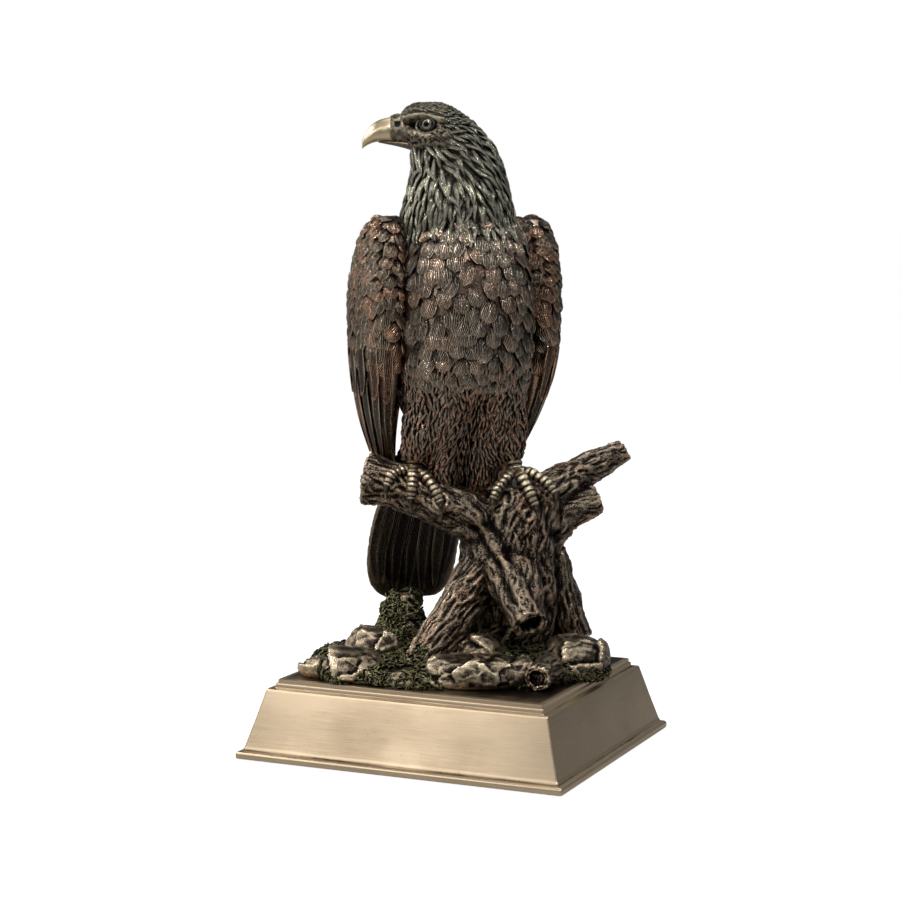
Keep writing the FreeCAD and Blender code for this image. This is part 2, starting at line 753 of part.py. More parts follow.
def ball(name, across, back, rise, radius, yaw):
    """A sphere at a place in a turned frame above the perch."""
    sphere = doc.addObject("Part::Sphere", name)
    place = Rotation(Vector(0, 0, 1), size(yaw)).multVec(Vector(across, back, rise))
    sphere.Placement = Placement(place + Vector(0, 0, size("perch")), Rotation())
    bind(sphere, Radius=cell(radius), Placement__Base__z=f"{cell('perch')} + {rise}")
    doc.recompute()
    return sphere


def make_eyes():
    """The two inlaid eyes, which sit half sunk in the head."""
    half = size("eye_spacing") / 2
    across, back, rise = EYE_CENTRE
    eyes = [
        ball(f"eye_{side}", across, back + side * half, rise, "eye_radius", "rockwork_yaw")
        for side in (-1, 1)
    ]
    return group("eyes", eyes)


def assemble():
    """Build every sub-part and seat it on its neighbours; the earlier piece keeps its shape."""
    done = {
        "plinth_shell": make_plinth(),
        "bottom_board": make_board(),
        "felt_pad": make_felt(),
        "board_screws": make_board_screws(),
    }
    fasteners, stud_bores = make_studs()
    done.update(fasteners)
    plinth = done["plinth_shell"]

    def rings(name):
        return ring_loft(name, RINGS[name], name, "deck", "rockwork_yaw")

    def rod(name, datum="deck"):
        return rod_loft(name, RODS[name], name, datum, "rockwork_yaw")

    # hidden pins and their bores
    pins, pin_bores = [], []
    for side, (across, back, rise) in FOOT_PINS.items():
        spot = (across, back, rise, FOOT_PIN_LENGTH, "pin_radius", "rockwork_yaw")
        pin, bore = pin_and_bore(f"foot_{side}", *spot)
        pins.append(pin)
        pin_bores.append(bore)
    dowels, dowel_bores = [], []
    low, high = WING_DOWEL_REACH
    for side in (-1, 1):
        for level, rise in enumerate(WING_DOWEL_HEIGHTS):
            name = f"wing_{'left' if side > 0 else 'right'}_{level}"
            spot = (side * low, WING_DOWEL_BACK, rise, high - low, "dowel_radius")
            pin, bore = pin_and_bore(name, *spot, "eagle_yaw", "eagle_shift", direction=(side, 0, 0))
            dowels.append(pin)
            dowel_bores.append(bore)
    across, back, rise, length = NECK_DOWEL
    spot = (across, back, rise, length, "neck_dowel_radius", "rockwork_yaw")
    neck_pin, neck_bore = pin_and_bore("neck", *spot)
    across, back, rise, length = TAIL_DOWEL
    spot = (across, back, rise, length, "dowel_radius", "eagle_yaw", "eagle_shift")
    tail_pin, tail_bore = pin_and_bore("tail", *spot, direction=(0, 1, 0))
    done["foot_pins"] = group("foot_pins", pins)
    done["wing_dowels"] = group("wing_dowels", dowels)
    done["neck_dowel"] = neck_pin
    done["tail_dowel"] = tail_pin

    # rockwork and tree, from the ground up
    rocks = []
    for name in ROCKS:
        done[name] = seat(rings(name), rocks)
        rocks.append(done[name])
    hollows = {name: end_hollow(name) for name in ("small_log", "front_root")}
    done["moss_hummock"] = seat(rings("moss_hummock"), rocks + stud_bores)
    done["trunk"] = seat(rings("trunk"), rocks + [done["moss_hummock"]] + stud_bores + pin_bores)
    low_pieces = [plinth] + rocks + [done["moss_hummock"], done["trunk"]] + stud_bores
    for name in ("front_root", "left_root", "right_root", "back_root"):
        own = [hollows[name]] if name in hollows else []
        done[name] = seat(rod(name), low_pieces + own)
        low_pieces.append(done[name])
    done["groundwork"] = seat(rings("groundwork"), low_pieces)
    log = cut_from(rod("small_log"), done["groundwork"])
    done["small_log"] = seat(log, [hollows["small_log"]] + low_pieces)
    tree = low_pieces + [done["small_log"]] + pin_bores
    for name in ("left_limb", "right_branch", "branch_stub"):
        done[name] = seat(rod(name), tree)
        tree.append(done[name])

    # eagle, from the feet up
    limbs = [done["left_limb"], done["right_branch"], done["branch_stub"], done["trunk"]]
    for name, foot in make_feet().items():
        done[name] = seat(foot, limbs + pin_bores)
    eagle = limbs + [done["right_foot"], done["left_foot"]] + pin_bores
    bores = dowel_bores + [neck_bore, tail_bore]
    torso = seat(make_torso(), eagle + bores)
    done["torso"] = cut_from(torso, make_core())
    eagle += [torso, done["moss_hummock"], done["left_root"], done["back_root"]]
    tail = ring_loft("tail", RINGS["tail"], "tail", "perch", "eagle_yaw", "eagle_shift")
    done["tail"] = seat(tail, eagle + bores)
    eagle.append(done["tail"])
    for side, name in ((-1, "right_wing"), (1, "left_wing")):
        wing = ring_loft(name, WING_RINGS, "wing", "perch", "eagle_yaw", "eagle_shift", side=side, deep=True)
        done[name] = seat(wing, eagle + bores)
        eagle.append(done[name])
    done["eyes"] = make_eyes()
    done["upper_beak"] = rod("upper_beak", "perch")
    done["lower_beak"] = seat(rod("lower_beak", "perch"), [done["upper_beak"]])
    face = [done["eyes"], done["upper_beak"], done["lower_beak"]]
    head = ring_loft("head", RINGS["head"], "head", "perch", "rockwork_yaw")
    done["head"] = seat(head, face + eagle + bores)
    return done


def solids_of(shape):
    """The solids of a shape, without the chips that a cut may leave."""
    return [solid for solid in shape.Solids if solid.Volume > SMALLEST_CHIP]


def check_and_write(done):
    """Stop on any failed object or bad shape, then write one STEP file for each sub-part."""
    failed = [item.Name for item in doc.Objects if {"Invalid", "Error"} & set(item.State)]
    if failed:
        raise SystemExit(f"failed objects: {failed}")
    for name, piece in done.items():
        piece.Label = name
        if piece.Shape.isNull() or not piece.Shape.isValid():
            raise SystemExit(f"{name} has no valid shape")
    os.makedirs(PART_FOLDER, exist_ok=True)
    for name, piece in done.items():
        solids = solids_of(piece.Shape)
        shape = solids[0] if len(solids) == 1 else Part.makeCompound(solids)
        shape.exportStep(os.path.join(PART_FOLDER, f"{name}.step"))
        print(f"{name:16s} {len(solids)} solids, {shape.Volume / 1000:9.2f} cm3")


fill_sheet()
check_and_write(assemble())
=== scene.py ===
"""The looks of a bronze eagle statuette: plumage, bark, rocks, moss and patina on its packed castings.

Lengths are in millimetres up to the point where a mesh is written, and metres in the meshes.
"""

import json
import logging
import math
from dataclasses import dataclass, field
from enum import Enum
from typing import Callable, Sequence

import bpy
import numpy as np
from mathutils import Matrix, Vector, noise
from mathutils.bvhtree import BVHTree

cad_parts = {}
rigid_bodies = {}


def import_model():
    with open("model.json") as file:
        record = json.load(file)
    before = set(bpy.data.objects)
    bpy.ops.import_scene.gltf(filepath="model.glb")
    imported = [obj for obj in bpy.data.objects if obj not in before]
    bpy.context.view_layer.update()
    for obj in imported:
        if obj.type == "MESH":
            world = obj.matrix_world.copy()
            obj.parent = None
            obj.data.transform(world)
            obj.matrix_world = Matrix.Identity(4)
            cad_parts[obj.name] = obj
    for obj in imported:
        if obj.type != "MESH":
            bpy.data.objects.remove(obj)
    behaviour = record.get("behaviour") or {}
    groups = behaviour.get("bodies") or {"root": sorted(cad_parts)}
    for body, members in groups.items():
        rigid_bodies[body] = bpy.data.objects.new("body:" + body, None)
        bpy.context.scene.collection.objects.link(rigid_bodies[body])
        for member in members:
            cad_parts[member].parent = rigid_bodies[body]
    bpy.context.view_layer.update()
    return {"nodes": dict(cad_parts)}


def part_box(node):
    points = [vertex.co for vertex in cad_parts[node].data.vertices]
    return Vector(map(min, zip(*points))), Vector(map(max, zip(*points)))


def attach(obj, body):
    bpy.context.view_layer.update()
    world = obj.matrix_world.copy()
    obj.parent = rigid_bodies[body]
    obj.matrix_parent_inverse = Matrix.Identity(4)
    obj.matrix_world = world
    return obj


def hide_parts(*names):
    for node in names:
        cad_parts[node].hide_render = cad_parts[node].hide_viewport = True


LOG = logging.getLogger("statuette")
MM = 0.001
BODY = "root"
ROCK_YAW = math.radians(24.0)
EAGLE_YAW = math.radians(42.0)
EAGLE_SHIFT = 2.5
PERCH_HEIGHT = 95.0

Colour = tuple[float, float, float]
Array = np.ndarray
Field = Callable[[Array], Array]


# ------------------------------------------------------------------------------------ places


def turned(across: float, back: float, height: float, yaw: float, shift: float = 0.0) -> Vector:
    """A point of a frame that is turned about the vertical.

    Args:
        across, back, height: Coordinates in the turned frame.
        yaw: Turn in radians.
        shift: Move along the row's X.

    Returns:
        The point in the row frame, in the same unit.
    """
    x = across * math.cos(yaw) - back * math.sin(yaw) + shift
    y = across * math.sin(yaw) + back * math.cos(yaw)
    return Vector((x, y, height))


def rock_point(across: float, back: float, height: float) -> Vector:
    """A point of the rockwork's frame, which the head's gaze shares."""
    return turned(across, back, height, ROCK_YAW)


def into_frame(points: Array, yaw: float, shift: float = 0.0) -> Array:
    """Row points, as rows of an array, seen in a turned frame."""
    moved = points - np.array([shift, 0.0, 0.0])
    turn = np.array(
        [[math.cos(yaw), -math.sin(yaw), 0.0], [math.sin(yaw), math.cos(yaw), 0.0], [0.0, 0.0, 1.0]]
    )
    return moved @ turn


def out_of_frame(vectors: Array, yaw: float) -> Array:
    """Directions of a turned frame, as rows of an array, in the row frame."""
    turn = np.array(
        [[math.cos(yaw), math.sin(yaw), 0.0], [-math.sin(yaw), math.cos(yaw), 0.0], [0.0, 0.0, 1.0]]
    )
    return vectors @ turn


def unit(vectors: Array) -> Array:
    """Rows scaled to length one."""
    return vectors / np.maximum(np.linalg.norm(vectors, axis=-1, keepdims=True), 1e-9)


def smooth_step(low: float, high: float, value: Array) -> Array:
    """A soft step from 0 at low to 1 at high."""
    t = np.clip((value - low) / (high - low), 0.0, 1.0)
    return t * t * (3.0 - 2.0 * t)


def everywhere(value: float) -> Field:
    """A field that has one value everywhere."""
    return lambda points: np.full(len(points), value)


def curve_through(points: Sequence[Vector], count: int) -> list[Vector]:
    """A smooth curve through a few points.

    Args:
        points: Points that the curve passes through.
        count: How many points to return.

    Returns:
        Evenly numbered points of a Catmull-Rom spline.
    """
    knots = [points[0] * 2 - points[1], *points, points[-1] * 2 - points[-2]]
    spans = len(points) - 1
    found = []
    for step in range(count):
        place = step / (count - 1) * spans
        span = min(int(place), spans - 1)
        t = place - span
        a, b, c, d = knots[span : span + 4]
        found.append(
            0.5 * (b * 2 + (c - a) * t + (a * 2 - b * 5 + c * 4 - d) * t * t
                   + (b * 3 - a - c * 3 + d) * t**3)
        )
    return found


# ------------------------------------------------------------------------------------ mesh work


def clear_selection() -> None:
    """Nothing selected, and object mode."""
    if bpy.context.object and bpy.context.object.mode != "OBJECT":
        bpy.ops.object.mode_set(mode="OBJECT")
    for item in bpy.context.view_layer.objects:
        item.select_set(False)


def select_only(piece: bpy.types.Object) -> None:
    """Make one object the selected and active one."""
    clear_selection()
    piece.select_set(True)
    bpy.context.view_layer.objects.active = piece


def apply_modifier(piece: bpy.types.Object, kind: str, **settings: object) -> None:
    """Add a modifier, set it and apply it at once."""
    select_only(piece)
    modifier = piece.modifiers.new(kind.title(), kind)
    for word, value in settings.items():
        setattr(modifier, word, value)
    bpy.ops.object.modifier_apply(modifier=modifier.name)


def vertices_of(piece: bpy.types.Object) -> Array:
    """A mesh's vertices in millimetres."""
    flat = np.empty(len(piece.data.vertices) * 3, np.float32)
    piece.data.vertices.foreach_get("co", flat)
    return flat.reshape(-1, 3).astype(float) / MM


def normals_of(piece: bpy.types.Object) -> Array:
    """A mesh's vertex normals."""
    flat = np.empty(len(piece.data.vertices) * 3, np.float32)
    piece.data.vertex_normals.foreach_get("vector", flat)
    return flat.reshape(-1, 3).astype(float)


def edges_of(piece: bpy.types.Object) -> Array:
    """A mesh's edges as pairs of vertex numbers."""
    flat = np.empty(len(piece.data.edges) * 2, np.int32)
    piece.data.edges.foreach_get("vertices", flat)
    return flat.reshape(-1, 2)


def move_vertices(piece: bpy.types.Object, points: Array) -> None:
    """Write a mesh's vertices, given in millimetres."""
    piece.data.vertices.foreach_set("co", (points * MM).astype(np.float32).ravel())
    piece.data.update()


def eased(values: Array, edges: Array, rounds: int) -> Array:
    """Average each vertex's value with its neighbours', a number of times."""
    columns = values.reshape(len(values), -1)
    count = np.bincount(edges.ravel(), minlength=len(values)).astype(float)
    count = np.maximum(count, 1.0)
    for _ in range(rounds):
        sums = [
            np.bincount(edges[:, 0], columns[edges[:, 1], axis], len(values))
            + np.bincount(edges[:, 1], columns[edges[:, 0], axis], len(values))
            for axis in range(columns.shape[1])
        ]
        columns = np.stack(sums, 1) / count[:, None]
    return columns.reshape(values.shape)


def mark(piece: bpy.types.Object, name: str, values: Array) -> None:
    """Store one number for each vertex, for the finishes to read."""
    attribute = piece.data.attributes.get(name) or piece.data.attributes.new(name, "FLOAT", "POINT")
    attribute.data.foreach_set("value", values.astype(np.float32))


def mark_relief(piece: bpy.types.Object, rounds: int, reach: float) -> None:
    """Store how far each vertex stands above the surface's local average.

    Args:
        piece: A dense mesh.
        rounds: How wide the average is, in steps of an edge.
        reach: Height in millimetres that counts as fully worn or fully sheltered.
    """
    points, edges = vertices_of(piece), edges_of(piece)
    height = ((points - eased(points, edges, rounds)) * normals_of(piece)).sum(1)
    mark(piece, "relief_and_painted_light", np.clip(0.5 + height / (2 * reach), 0.0, 1.0))
    mark(piece, "tone", np.full(len(points), 0.5))


def fractal(points: Array, grain: float, octaves: int = 3, seed: float = 0.0) -> Array:
    """Fractal noise from about -1 to 1 at each point, with features of about one grain."""
    scaled = points / grain + seed
    return np.array([noise.fractal(Vector(p), 1.0, 2.0, octaves) for p in scaled])


def ridges(points: Array, grain: float, seed: float = 0.0) -> Array:
    """Noise with sharp crests, from about -1 in the hollows to 1 on the crests."""
    scaled = points / grain + seed
    return np.array([1.0 - 3.0 * abs(noise.noise(Vector(p))) for p in scaled])


def facets(points: Array, grain: float, seed: float) -> Array:
    """Broken flat faces: each cell of a Voronoi pattern is a plane with its own tilt."""
    found = np.empty(len(points))
    for number, point in enumerate(points / grain + seed):
        centre = noise.voronoi(Vector(point))[1][0]
        tilt = noise.cell_vector(centre * 7.3)
        found[number] = (Vector(point) - centre).dot(tilt - Vector((0.5, 0.5, 0.5))) * 2.0
    return found


def keep_outer_shell(piece: bpy.types.Object) -> None:
    """Delete every loose shell but the one that reaches furthest up."""
    select_only(piece)
    top = int(np.argmax(vertices_of(piece)[:, 2]))
    bpy.ops.object.mode_set(mode="EDIT")
    bpy.ops.mesh.select_all(action="DESELECT")
    bpy.ops.object.mode_set(mode="OBJECT")
    piece.data.vertices[top].select = True
    bpy.ops.object.mode_set(mode="EDIT")
    bpy.ops.mesh.select_linked()
    bpy.ops.mesh.select_all(action="INVERT")
    bpy.ops.mesh.delete(type="VERT")
    bpy.ops.object.mode_set(mode="OBJECT")


def cast_skin(
    name: str, nodes: Sequence[str], voxel: float, rounds: int, every_shell: bool = False
) -> bpy.types.Object:
    """One even skin over copies of some packed castings.

    Args:
        name: Name of the new piece.
        nodes: The castings that it covers.
        voxel: Edge length of the skin's faces in millimetres.
        rounds: How many times the skin is smoothed.
        every_shell: True for a casting in several lumps, which are all kept.

    Returns:
        The skin, in place, with its casting left as it was.
    """
    clear_selection()
    copies = []
    for node in nodes:
        copy = bpy.data.objects[node].copy()
        copy.data = copy.data.copy()
        for key in list(copy.keys()):
            del copy[key]
        copy.parent = None
        copy.matrix_world = Matrix.Identity(4)
        copy.hide_viewport = False
        bpy.context.scene.collection.objects.link(copy)
        copies.append(copy)
    bpy.context.view_layer.update()
    select_only(copies[0])
    for copy in copies:
        copy.select_set(True)
    if len(copies) > 1:
        bpy.ops.object.join()
    skin = bpy.context.view_layer.objects.active
    skin.name = name
    skin.data.materials.clear()
    bpy.ops.object.mode_set(mode="EDIT")
    bpy.ops.mesh.select_all(action="SELECT")
    bpy.ops.mesh.remove_doubles(threshold=0.00001)
    bpy.ops.object.mode_set(mode="OBJECT")
    apply_modifier(skin, "REMESH", mode="VOXEL", voxel_size=voxel * MM, use_smooth_shade=True)
    if not every_shell:
        keep_outer_shell(skin)
    apply_modifier(skin, "SMOOTH", factor=0.5, iterations=rounds)
    return skin


def tree_of(piece: bpy.types.Object) -> BVHTree:
    """A search tree over a mesh, in metres."""
    vertices = [vertex.co.copy() for vertex in piece.data.vertices]
    return BVHTree.FromPolygons(vertices, [tuple(face.vertices) for face in piece.data.polygons])


def extruded_loft(name: str, rings: Sequence[Array], ends: bool = True) -> bpy.types.Object:
    """A closed form made by extruding a circle ring by ring and setting each ring's points.

    Args:
        name: Name of the new piece.
        rings: For each ring, its points in order, in millimetres.
        ends: True to close both ends.

    Returns:
        The new piece, with its faces pointing out.
    """
    sides = len(rings[0])
    clear_selection()
    bpy.ops.mesh.primitive_circle_add(vertices=sides, radius=1.0, location=(0, 0, 0))
    piece = bpy.context.object
    piece.name = name
    bpy.ops.object.mode_set(mode="EDIT")
    bpy.ops.mesh.select_all(action="SELECT")
    for _ in rings[1:]:
        bpy.ops.mesh.extrude_region_move(TRANSFORM_OT_translate={"value": (0, 0, 1)})
    if ends:
        bpy.ops.mesh.select_all(action="SELECT")
        bpy.ops.mesh.fill_holes(sides=0)
    bpy.ops.object.mode_set(mode="OBJECT")
    rough = vertices_of(piece) * MM
    level = np.rint(rough[:, 2]).astype(int)
    corner = np.rint(np.arctan2(rough[:, 1], rough[:, 0]) / (2 * math.pi) * sides).astype(int) % sides
    move_vertices(piece, np.array(rings)[level, corner])
    bpy.ops.object.mode_set(mode="EDIT")
    bpy.ops.mesh.select_all(action="SELECT")
    bpy.ops.mesh.normals_make_consistent(inside=False)
    bpy.ops.object.mode_set(mode="OBJECT")
    bpy.ops.object.shade_smooth()
    return piece


def joined(name: str, pieces: Sequence[bpy.types.Object]) -> bpy.types.Object:
    """Several meshes as one piece."""
    select_only(pieces[0])
    for piece in pieces:
        piece.select_set(True)
    if len(pieces) > 1:
        bpy.ops.object.join()
    whole = bpy.context.view_layer.objects.active
    whole.name = name
    return whole


def frame_along(path: Sequence[Vector], hint: Vector) -> list[tuple[Vector, Vector]]:
    """Two crosswise directions at each point of a path.

    Args:
        path: Points of the path.
        hint: Direction that the second one leans to.

    Returns:
        For each point, the sideways and the outward direction.
    """
    found = []
    for number, _ in enumerate(path):
        way = (path[min(number + 1, len(path) - 1)] - path[max(number - 1, 0)]).normalized()
        side = way.cross(hint).normalized()
        found.append((side, side.cross(way).normalized()))
    return found


# ------------------------------------------------------------------------------------ finishes


@dataclass(frozen=True)
class Patina:
    """Bronze with a dark patina in the hollows, rubbed back to metal on what stands proud."""

    name: str
    deep: Colour
    body: Colour
    rubbed: Colour
    tint: Colour
    tint_amount: float = 0.3
    patch: float = 14.0
    metal: float = 0.85
    rough_body: float = 0.5
    rough_rubbed: float = 0.34
    low: float = 0.3
    high: float = 0.8
    speckle: float = 0.16
    grain: float = 0.9
    grain_height: float = 0.12
    barbs: float = 0.0
    barb_count: float = 34.0

    def make(self) -> bpy.types.Material:
        """Build the finish's node material."""
        material = bpy.data.materials.get(self.name) or bpy.data.materials.new(self.name)
        material.use_nodes = True
        desk = NodeDesk(material)
        # The per-vertex value read here mostly says how far the surface stands proud, for the patina; on
        # the toes it also holds painted top light and underside shade, and in the nostrils painted shade.
        relief_and_painted_light = desk.add("ShaderNodeAttribute", attribute_name="relief_and_painted_light").outputs["Fac"]
        tone = desk.add("ShaderNodeAttribute", attribute_name="tone").outputs["Fac"]
        fine = desk.noise(self.grain, 3.0)
        broad = desk.noise(self.patch, 2.0)
        speckle = desk.maths("MULTIPLY", desk.maths("SUBTRACT", fine, 0.5), self.speckle * 2)
        height = desk.maths("ADD", relief_and_painted_light, speckle)
        barb = None
        if self.barbs:
            barb = self.barb_pattern(desk)
            lines = desk.maths("MULTIPLY", desk.maths("SUBTRACT", barb, 0.5), self.barbs)
            height = desk.maths("ADD", height, lines)
        ramp = desk.ramp(
            height,
            ((self.low - 0.25, self.deep), (self.low, self.body), (self.high, self.rubbed)),
        )
        patches = desk.maths("ADD", broad, desk.maths("MULTIPLY", desk.maths("SUBTRACT", tone, 0.5), 0.6))
        amount = desk.maths("MULTIPLY", desk.span(patches, 0.42, 0.72), self.tint_amount)
        colour = desk.mix(amount, ramp, desk.shade(ramp, self.tint))
        desk.link(colour, desk.shader.inputs["Base Color"])
        rough = desk.span(height, self.low, self.high, self.rough_body, self.rough_rubbed)
        desk.link(rough, desk.shader.inputs["Roughness"])
        desk.shader.inputs["Metallic"].default_value = self.metal
        bump = desk.bump(fine, self.grain_height * MM * 2)
        if barb is not None:
            bump = desk.bump(barb, 0.22 * MM, bump)
        desk.link(bump, desk.shader.inputs["Normal"])
        return material

    def barb_pattern(self, desk: "NodeDesk") -> bpy.types.NodeSocket:
        """Fine lines that run out and down from a feather's shaft."""
        across = desk.add("ShaderNodeAttribute", attribute_name="across").outputs["Fac"]
        along = desk.add("ShaderNodeAttribute", attribute_name="along").outputs["Fac"]
        out = desk.maths("ABSOLUTE", across)
        lean = desk.maths("SUBTRACT", desk.maths("MULTIPLY", out, 1.5), desk.maths("MULTIPLY", along, 0.55))
        wave = desk.maths("SINE", desk.maths("MULTIPLY", lean, self.barb_count))
        return desk.maths("MULTIPLY_ADD", wave, 0.5, 0.5)


class NodeDesk:
    """Short ways to add and join shader nodes of one material."""

    def __init__(self, material: bpy.types.Material) -> None:
        """Clear the material and put a shader and an output on the desk."""
        self.tree = material.node_tree
        self.tree.nodes.clear()
        output = self.tree.nodes.new("ShaderNodeOutputMaterial")
        self.shader = self.tree.nodes.new("ShaderNodeBsdfPrincipled")
        self.link(self.shader.outputs["BSDF"], output.inputs["Surface"])
        self.place = self.tree.nodes.new("ShaderNodeTexCoord").outputs["Object"]

    def add(self, kind: str, **settings: object) -> bpy.types.Node:
        """A new node with some of its properties set."""
        node = self.tree.nodes.new(kind)
        for word, value in settings.items():
            setattr(node, word, value)
        return node

    def link(self, source: bpy.types.NodeSocket, target: bpy.types.NodeSocket) -> None:
        """Join two sockets."""
        self.tree.links.new(source, target)

    def feed(self, target: bpy.types.NodeSocket, value: object) -> None:
        """Link a socket, or set it when the value is a number or a colour."""
        if isinstance(value, bpy.types.NodeSocket):
            self.link(value, target)
        else:
            target.default_value = value

    def maths(self, operation: str, *values: object) -> bpy.types.NodeSocket:
        """A Math node's result."""
        node = self.add("ShaderNodeMath", operation=operation)
        for socket, value in zip(node.inputs, values):
            self.feed(socket, value)
        return node.outputs["Value"]

    def span(
        self, value: bpy.types.NodeSocket, low: float, high: float, start: float = 0.0, end: float = 1.0
    ) -> bpy.types.NodeSocket:
        """A value carried smoothly from one range to another."""
        node = self.add("ShaderNodeMapRange", interpolation_type="SMOOTHSTEP")
        for word, number in (("From Min", low), ("From Max", high), ("To Min", start), ("To Max", end)):
            node.inputs[word].default_value = number
        self.link(value, node.inputs["Value"])
        return node.outputs["Result"]

    def noise(
        self, grain: float, detail: float, stretch: Sequence[float] = (1, 1, 1)
    ) -> bpy.types.NodeSocket:
        """Noise whose features are about one grain, in millimetres, wide."""
        mapping = self.add("ShaderNodeMapping")
        mapping.inputs["Scale"].default_value = tuple(1.0 / (grain * MM) / reach for reach in stretch)
        self.link(self.place, mapping.inputs["Vector"])
        node = self.add("ShaderNodeTexNoise")
        node.inputs["Scale"].default_value = 1.0
        node.inputs["Detail"].default_value = detail
        self.link(mapping.outputs["Vector"], node.inputs["Vector"])
        return node.outputs["Fac"]

    def ramp(
        self, value: bpy.types.NodeSocket, stops: Sequence[tuple[float, Colour]]
    ) -> bpy.types.NodeSocket:
        """A colour ramp's result."""
        node = self.add("ShaderNodeValToRGB")
        elements = node.color_ramp.elements
        for number, (place, colour) in enumerate(stops):
            element = elements[number] if number < len(elements) else elements.new(1.0)
            element.position = min(max(place, 0.0), 1.0)
            element.color = (*colour, 1.0)
        self.link(value, node.inputs["Fac"])
        return node.outputs["Color"]

    def mix(self, amount: object, first: object, second: object, kind: str = "MIX") -> bpy.types.NodeSocket:
        """Two colours mixed."""
        node = self.add("ShaderNodeMix", data_type="RGBA", blend_type=kind)
        self.feed(node.inputs["Factor"], amount)
        self.feed(node.inputs[6], first)
        self.feed(node.inputs[7], second)
        return node.outputs[2]

    def shade(self, colour: bpy.types.NodeSocket, tint: Colour) -> bpy.types.NodeSocket:
        """A colour multiplied by a tint that may be brighter than white."""
        return self.mix(1.0, colour, (*tint, 1.0), "MULTIPLY")

    def bump(
        self, height: bpy.types.NodeSocket, depth: float, under: bpy.types.NodeSocket | None = None
    ) -> bpy.types.NodeSocket:
        """A bumped normal, on top of another one if there is one."""
        node = self.add("ShaderNodeBump")
        node.inputs["Strength"].default_value = 1.0
        node.inputs["Distance"].default_value = depth
        self.link(height, node.inputs["Height"])
        if under:
            self.link(under, node.inputs["Normal"])
        return node.outputs["Normal"]


# ------------------------------------------------------------------------------------ feathers


class Plume(Enum):
    """The kinds of feather, each modelled once and stamped many times."""

    SCALE = "scale"
    HACKLE = "hackle"
    WISP = "wisp"
    VANE = "vane"


@dataclass(frozen=True)
class Blade:
    """The outline and thickness of one kind of feather; sizes are parts of its width and length."""

    columns: int
    rows: int
    root: float
    widest: float
    power: float
    sharp: float
    crown: float
    shaft: float
    thick: float

    def half_width(self, along: Array) -> Array:
        """Half the outline's width, from 0 to 1, at parts of the length."""
        rise = self.root + (1 - self.root) * smooth_step(0.0, self.widest, along)
        over = np.clip((along - self.widest) / (1 - self.widest), 0.0, 1.0)
        fall = np.maximum((1 - over**self.power), 0.0) ** self.sharp
        return np.maximum(rise * fall, 0.07)


BLADES = {
    Plume.SCALE: Blade(6, 6, 0.6, 0.5, 2.4, 0.55, 0.5, 0.28, 0.75),
    Plume.HACKLE: Blade(4, 7, 0.6, 0.4, 1.7, 0.9, 0.7, 0.1, 0.6),
    Plume.WISP: Blade(2, 5, 0.7, 0.3, 1.4, 0.9, 0.5, 0.0, 0.6),
    Plume.VANE: Blade(8, 22, 0.85, 0.3, 5.0, 0.6, 0.35, 0.45, 0.9),
}


@dataclass
class Template:
    """A feather's flat pattern: where each vertex sits, and the object that is copied."""

    piece: bpy.types.Object
    across: Array
    along: Array
    under: Array
    blade: Blade


def make_template(kind: Plume) -> Template:
    """Model one feather as a slab: a grid, extruded, with its underside made one face.

    Args:
        kind: The kind of feather.

    Returns:
        The pattern, with each vertex's place across and along it.
    """
    blade = BLADES[kind]
    clear_selection()
    bpy.ops.mesh.primitive_grid_add(
        x_subdivisions=blade.columns, y_subdivisions=blade.rows, size=2.0, location=(0, 0, 0)
    )
    piece = bpy.context.object
    piece.name = f"{kind.value}_pattern"
    bpy.ops.object.mode_set(mode="EDIT")
    bpy.ops.mesh.select_all(action="SELECT")
    bpy.ops.mesh.extrude_region_move(TRANSFORM_OT_translate={"value": (0, 0, 1)})
    bpy.ops.mesh.select_all(action="DESELECT")
    bpy.ops.object.mode_set(mode="OBJECT")
    for face in piece.data.polygons:
        face.select = face.center.z < 0.01 and abs(face.normal.z) > 0.9
    bpy.ops.object.mode_set(mode="EDIT")
    bpy.ops.mesh.select_mode(type="FACE")
    bpy.ops.mesh.dissolve_faces()
    bpy.ops.mesh.select_all(action="SELECT")
    bpy.ops.mesh.normals_make_consistent(inside=False)
    bpy.ops.mesh.select_mode(type="VERT")
    bpy.ops.object.mode_set(mode="OBJECT")
    bpy.ops.object.shade_smooth()
    flat = vertices_of(piece) * MM
    return Template(piece, flat[:, 0], (flat[:, 1] + 1) / 2, flat[:, 2] < 0.5, blade)


